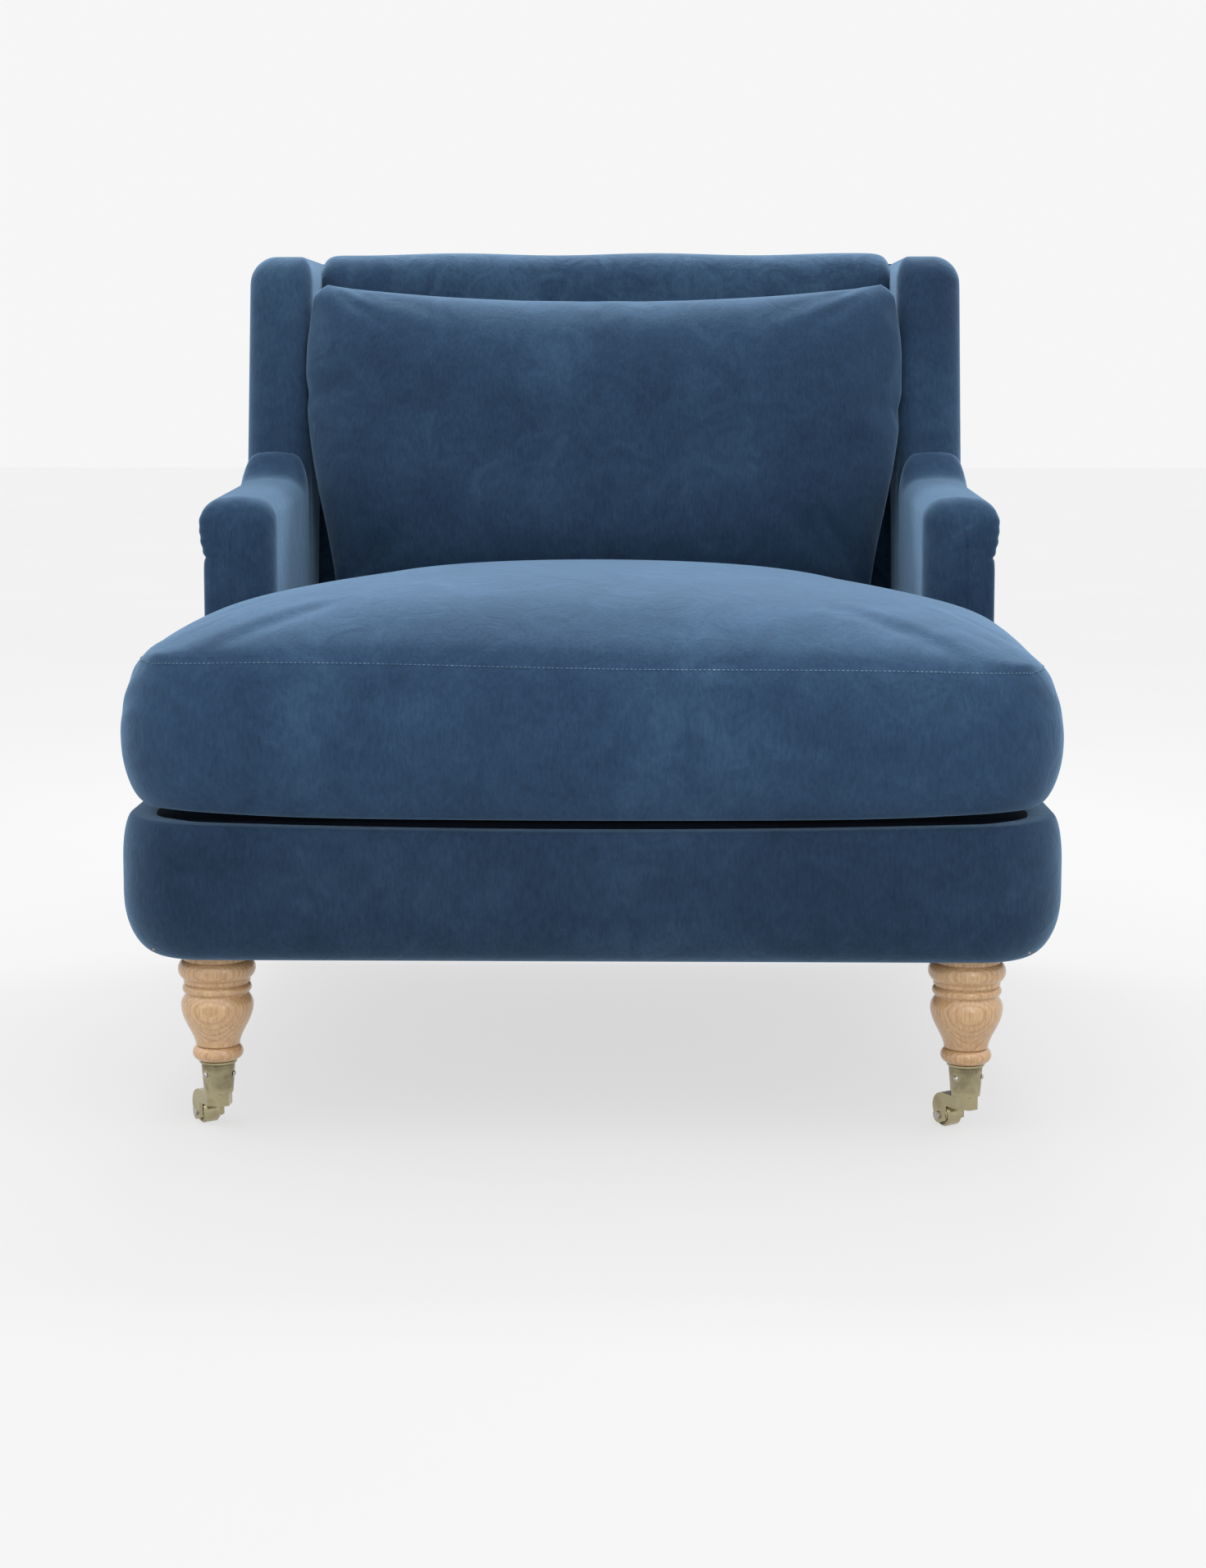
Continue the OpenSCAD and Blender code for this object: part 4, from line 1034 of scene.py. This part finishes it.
def back_cushion():
    """A cushion standing on its edge: soft rounded sides, ears at its top corners, narrower below."""
    half = INNER_HALF + 0.006
    tall = (pillow_high.z - pillow_low.z) / math.cos(RAKE) - 0.004
    cell = 0.0085
    nx, nz = round(2 * half / cell), round(tall / cell)
    turns = [np.linspace(-1, 1, n + 1) * math.pi / 2 * 0.95 for n in (nx, nz)]
    u, v = np.meshgrid(*(np.sin(turn) / math.sin(math.pi / 2 * 0.95) for turn in turns))
    crown = 0.88 + 0.12 * np.cos(u * 1.5) * np.cos(v * 1.5)
    deep = np.sqrt((1 - np.abs(u) ** 6) * (1 - np.abs(v) ** 4)) * crown
    width = 1 - 0.022 * smooth(v * 2.2 - 1.2) - 0.118 * smooth((0.45 - v) / 1.6) ** 1.2
    corner = 0.018 * (np.abs(u) ** 8) * np.clip((v - 0.9) / 0.1, 0, 1) ** 2
    pinch = 0.010 * np.exp(-((v - 0.30 + 0.1 * (u > 0)) / 0.06) ** 2) * np.abs(u) ** 12
    x = half * u * (width - pinch) - np.sign(u) * corner
    dip = 0.021 * (1 - np.abs(u) ** 2.2) * smooth((v + 0.2) / 1.2)
    z = tall / 2 * (v + 1) - dip
    ruck = 0.0016 * np.sin(u * 31 + v * 9) * np.exp(-((1 - np.abs(u)) / 0.10) ** 2) * (1 - v ** 6)
    verts, faces = [], []
    front = np.arange((nz + 1) * (nx + 1)).reshape(nz + 1, nx + 1)
    ahead = -PILLOW_AHEAD * deep + ruck
    verts += [(x[j, i], ahead[j, i], z[j, i]) for j in range(nz + 1) for i in range(nx + 1)]
    rear = front.copy()
    for j in range(1, nz):
        for i in range(1, nx):
            rear[j, i] = len(verts)
            verts.append((x[j, i], PILLOW_BEHIND * deep[j, i], z[j, i]))
    for table in (front, rear):
        for j in range(nz):
            faces += [(table[j, i], table[j, i + 1], table[j + 1, i + 1], table[j + 1, i]) for i in range(nx)]
    rim = [int(front[j, i]) for j in range(nz + 1) for i in range(nx + 1) if i in (0, nx) or j in (0, nz)]
    return link("back_cushion", verts, faces), rim


def lean_back(co, bottom_y, bottom_z):
    """Turns a cushion standing on its edge to lean like the back, and stands it in its place."""
    c, s = math.cos(RAKE), math.sin(RAKE)
    y = co[:, 1] * c + co[:, 2] * s + bottom_y
    z = -co[:, 1] * s + co[:, 2] * c + bottom_z
    return np.column_stack([co[:, 0], y, z])


pillow, pillow_rim = back_cushion()
inflate(pillow, 2.0, {0.05: range(len(pillow.data.vertices)), 0.5: pillow_rim}, 0.007)
pillow_y = out_y(pillow_low.z) - BACK_T - PILLOW_STAND / math.cos(RAKE)
set_coords(pillow, lean_back(coords(pillow), pillow_y, pillow_low.z + 0.001))
modify(pillow, "SUBSURF", levels=1, render_levels=1)
apply_all(pillow)
piece(pillow, "back_cushion", VELVET, ["back_cushion_cover", "back_cushion_core"])

# ------------------------------------------------------------------ stage, lights and camera


def plane(name, size, z):
    mesh = bpy.data.meshes.new(name)
    h = size / 2
    mesh.from_pydata([(-h, -h, z), (h, -h, z), (h, h, z), (-h, h, z)], [], [(0, 1, 2, 3)])
    obj = bpy.data.objects.new(name, mesh)
    SCENE.collection.objects.link(obj)
    return obj


PAPER = 0.921
FLOOR_GREY = 0.12
FLOOR_LIGHT = 2.17

floor = plane("floor", size=40, z=0)
paint = Nodes("floor_paint", Roughness=0.95, Specular_IOR_Level=0.0)
greys = ((0.3, (FLOOR_GREY,) * 3), (0.7, (FLOOR_GREY + 0.005,) * 3))
paint.set("Base Color", paint.ramp(paint.noise(2, 2.0), *greys))
paint.shader.inputs["Emission Color"].default_value = (1, 1, 1, 1)
paint.shader.inputs["Emission Strength"].default_value = PAPER - FLOOR_GREY * FLOOR_LIGHT
floor.data.materials.append(paint.material)


def studio_world():
    """A plain pale studio: even white round the horizon, brighter overhead."""
    world = bpy.data.worlds.new("studio")
    world.use_nodes = True
    nodes, links = world.node_tree.nodes, world.node_tree.links
    way = nodes.new("ShaderNodeTexCoord")
    split = nodes.new("ShaderNodeSeparateXYZ")
    rise = nodes.new("ShaderNodeMapRange")
    rise.interpolation_type = "SMOOTHSTEP"
    for socket, value in (("From Min", 0.25), ("From Max", 0.85), ("To Min", PAPER), ("To Max", 2.3)):
        rise.inputs[socket].default_value = value
    links.new(way.outputs["Generated"], split.inputs["Vector"])
    links.new(split.outputs["Z"], rise.inputs["Value"])
    links.new(rise.outputs["Result"], nodes["Background"].inputs["Strength"])
    nodes["Background"].inputs["Color"].default_value = (1, 1, 1, 1)
    SCENE.world = world


studio_world()


def soft_light(name, place, aim, size, power):
    data = bpy.data.lights.new(name, "AREA")
    data.shape = "RECTANGLE"
    data.size, data.size_y = size
    data.energy = power
    obj = bpy.data.objects.new(name, data)
    SCENE.collection.objects.link(obj)
    obj.location = place
    obj.rotation_euler = (Vector(aim) - Vector(place)).to_track_quat("-Z", "Y").to_euler()


soft_light("key_strip", (0.75, -2.3, 0.95), (0, -0.4, 0.2), (0.12, 1.2), 5)
soft_light("top_rim", (0, 1.35, 2.3), (0, 0.15, 0.75), (1.8, 0.4), 48)

camera_data = bpy.data.cameras.new("camera")
camera_data.sensor_width = 36
camera_data.lens = 60.4
camera_data.shift_y = -0.082
camera = bpy.data.objects.new("camera", camera_data)
SCENE.collection.objects.link(camera)
camera.location = (0.0566, -3.0, 0.739)
camera.rotation_euler = (math.pi / 2 - 0.1033, 0, 0.0175)
SCENE.camera = camera

SCENE.view_settings.view_transform = "Standard"
SCENE.view_settings.look = "None"
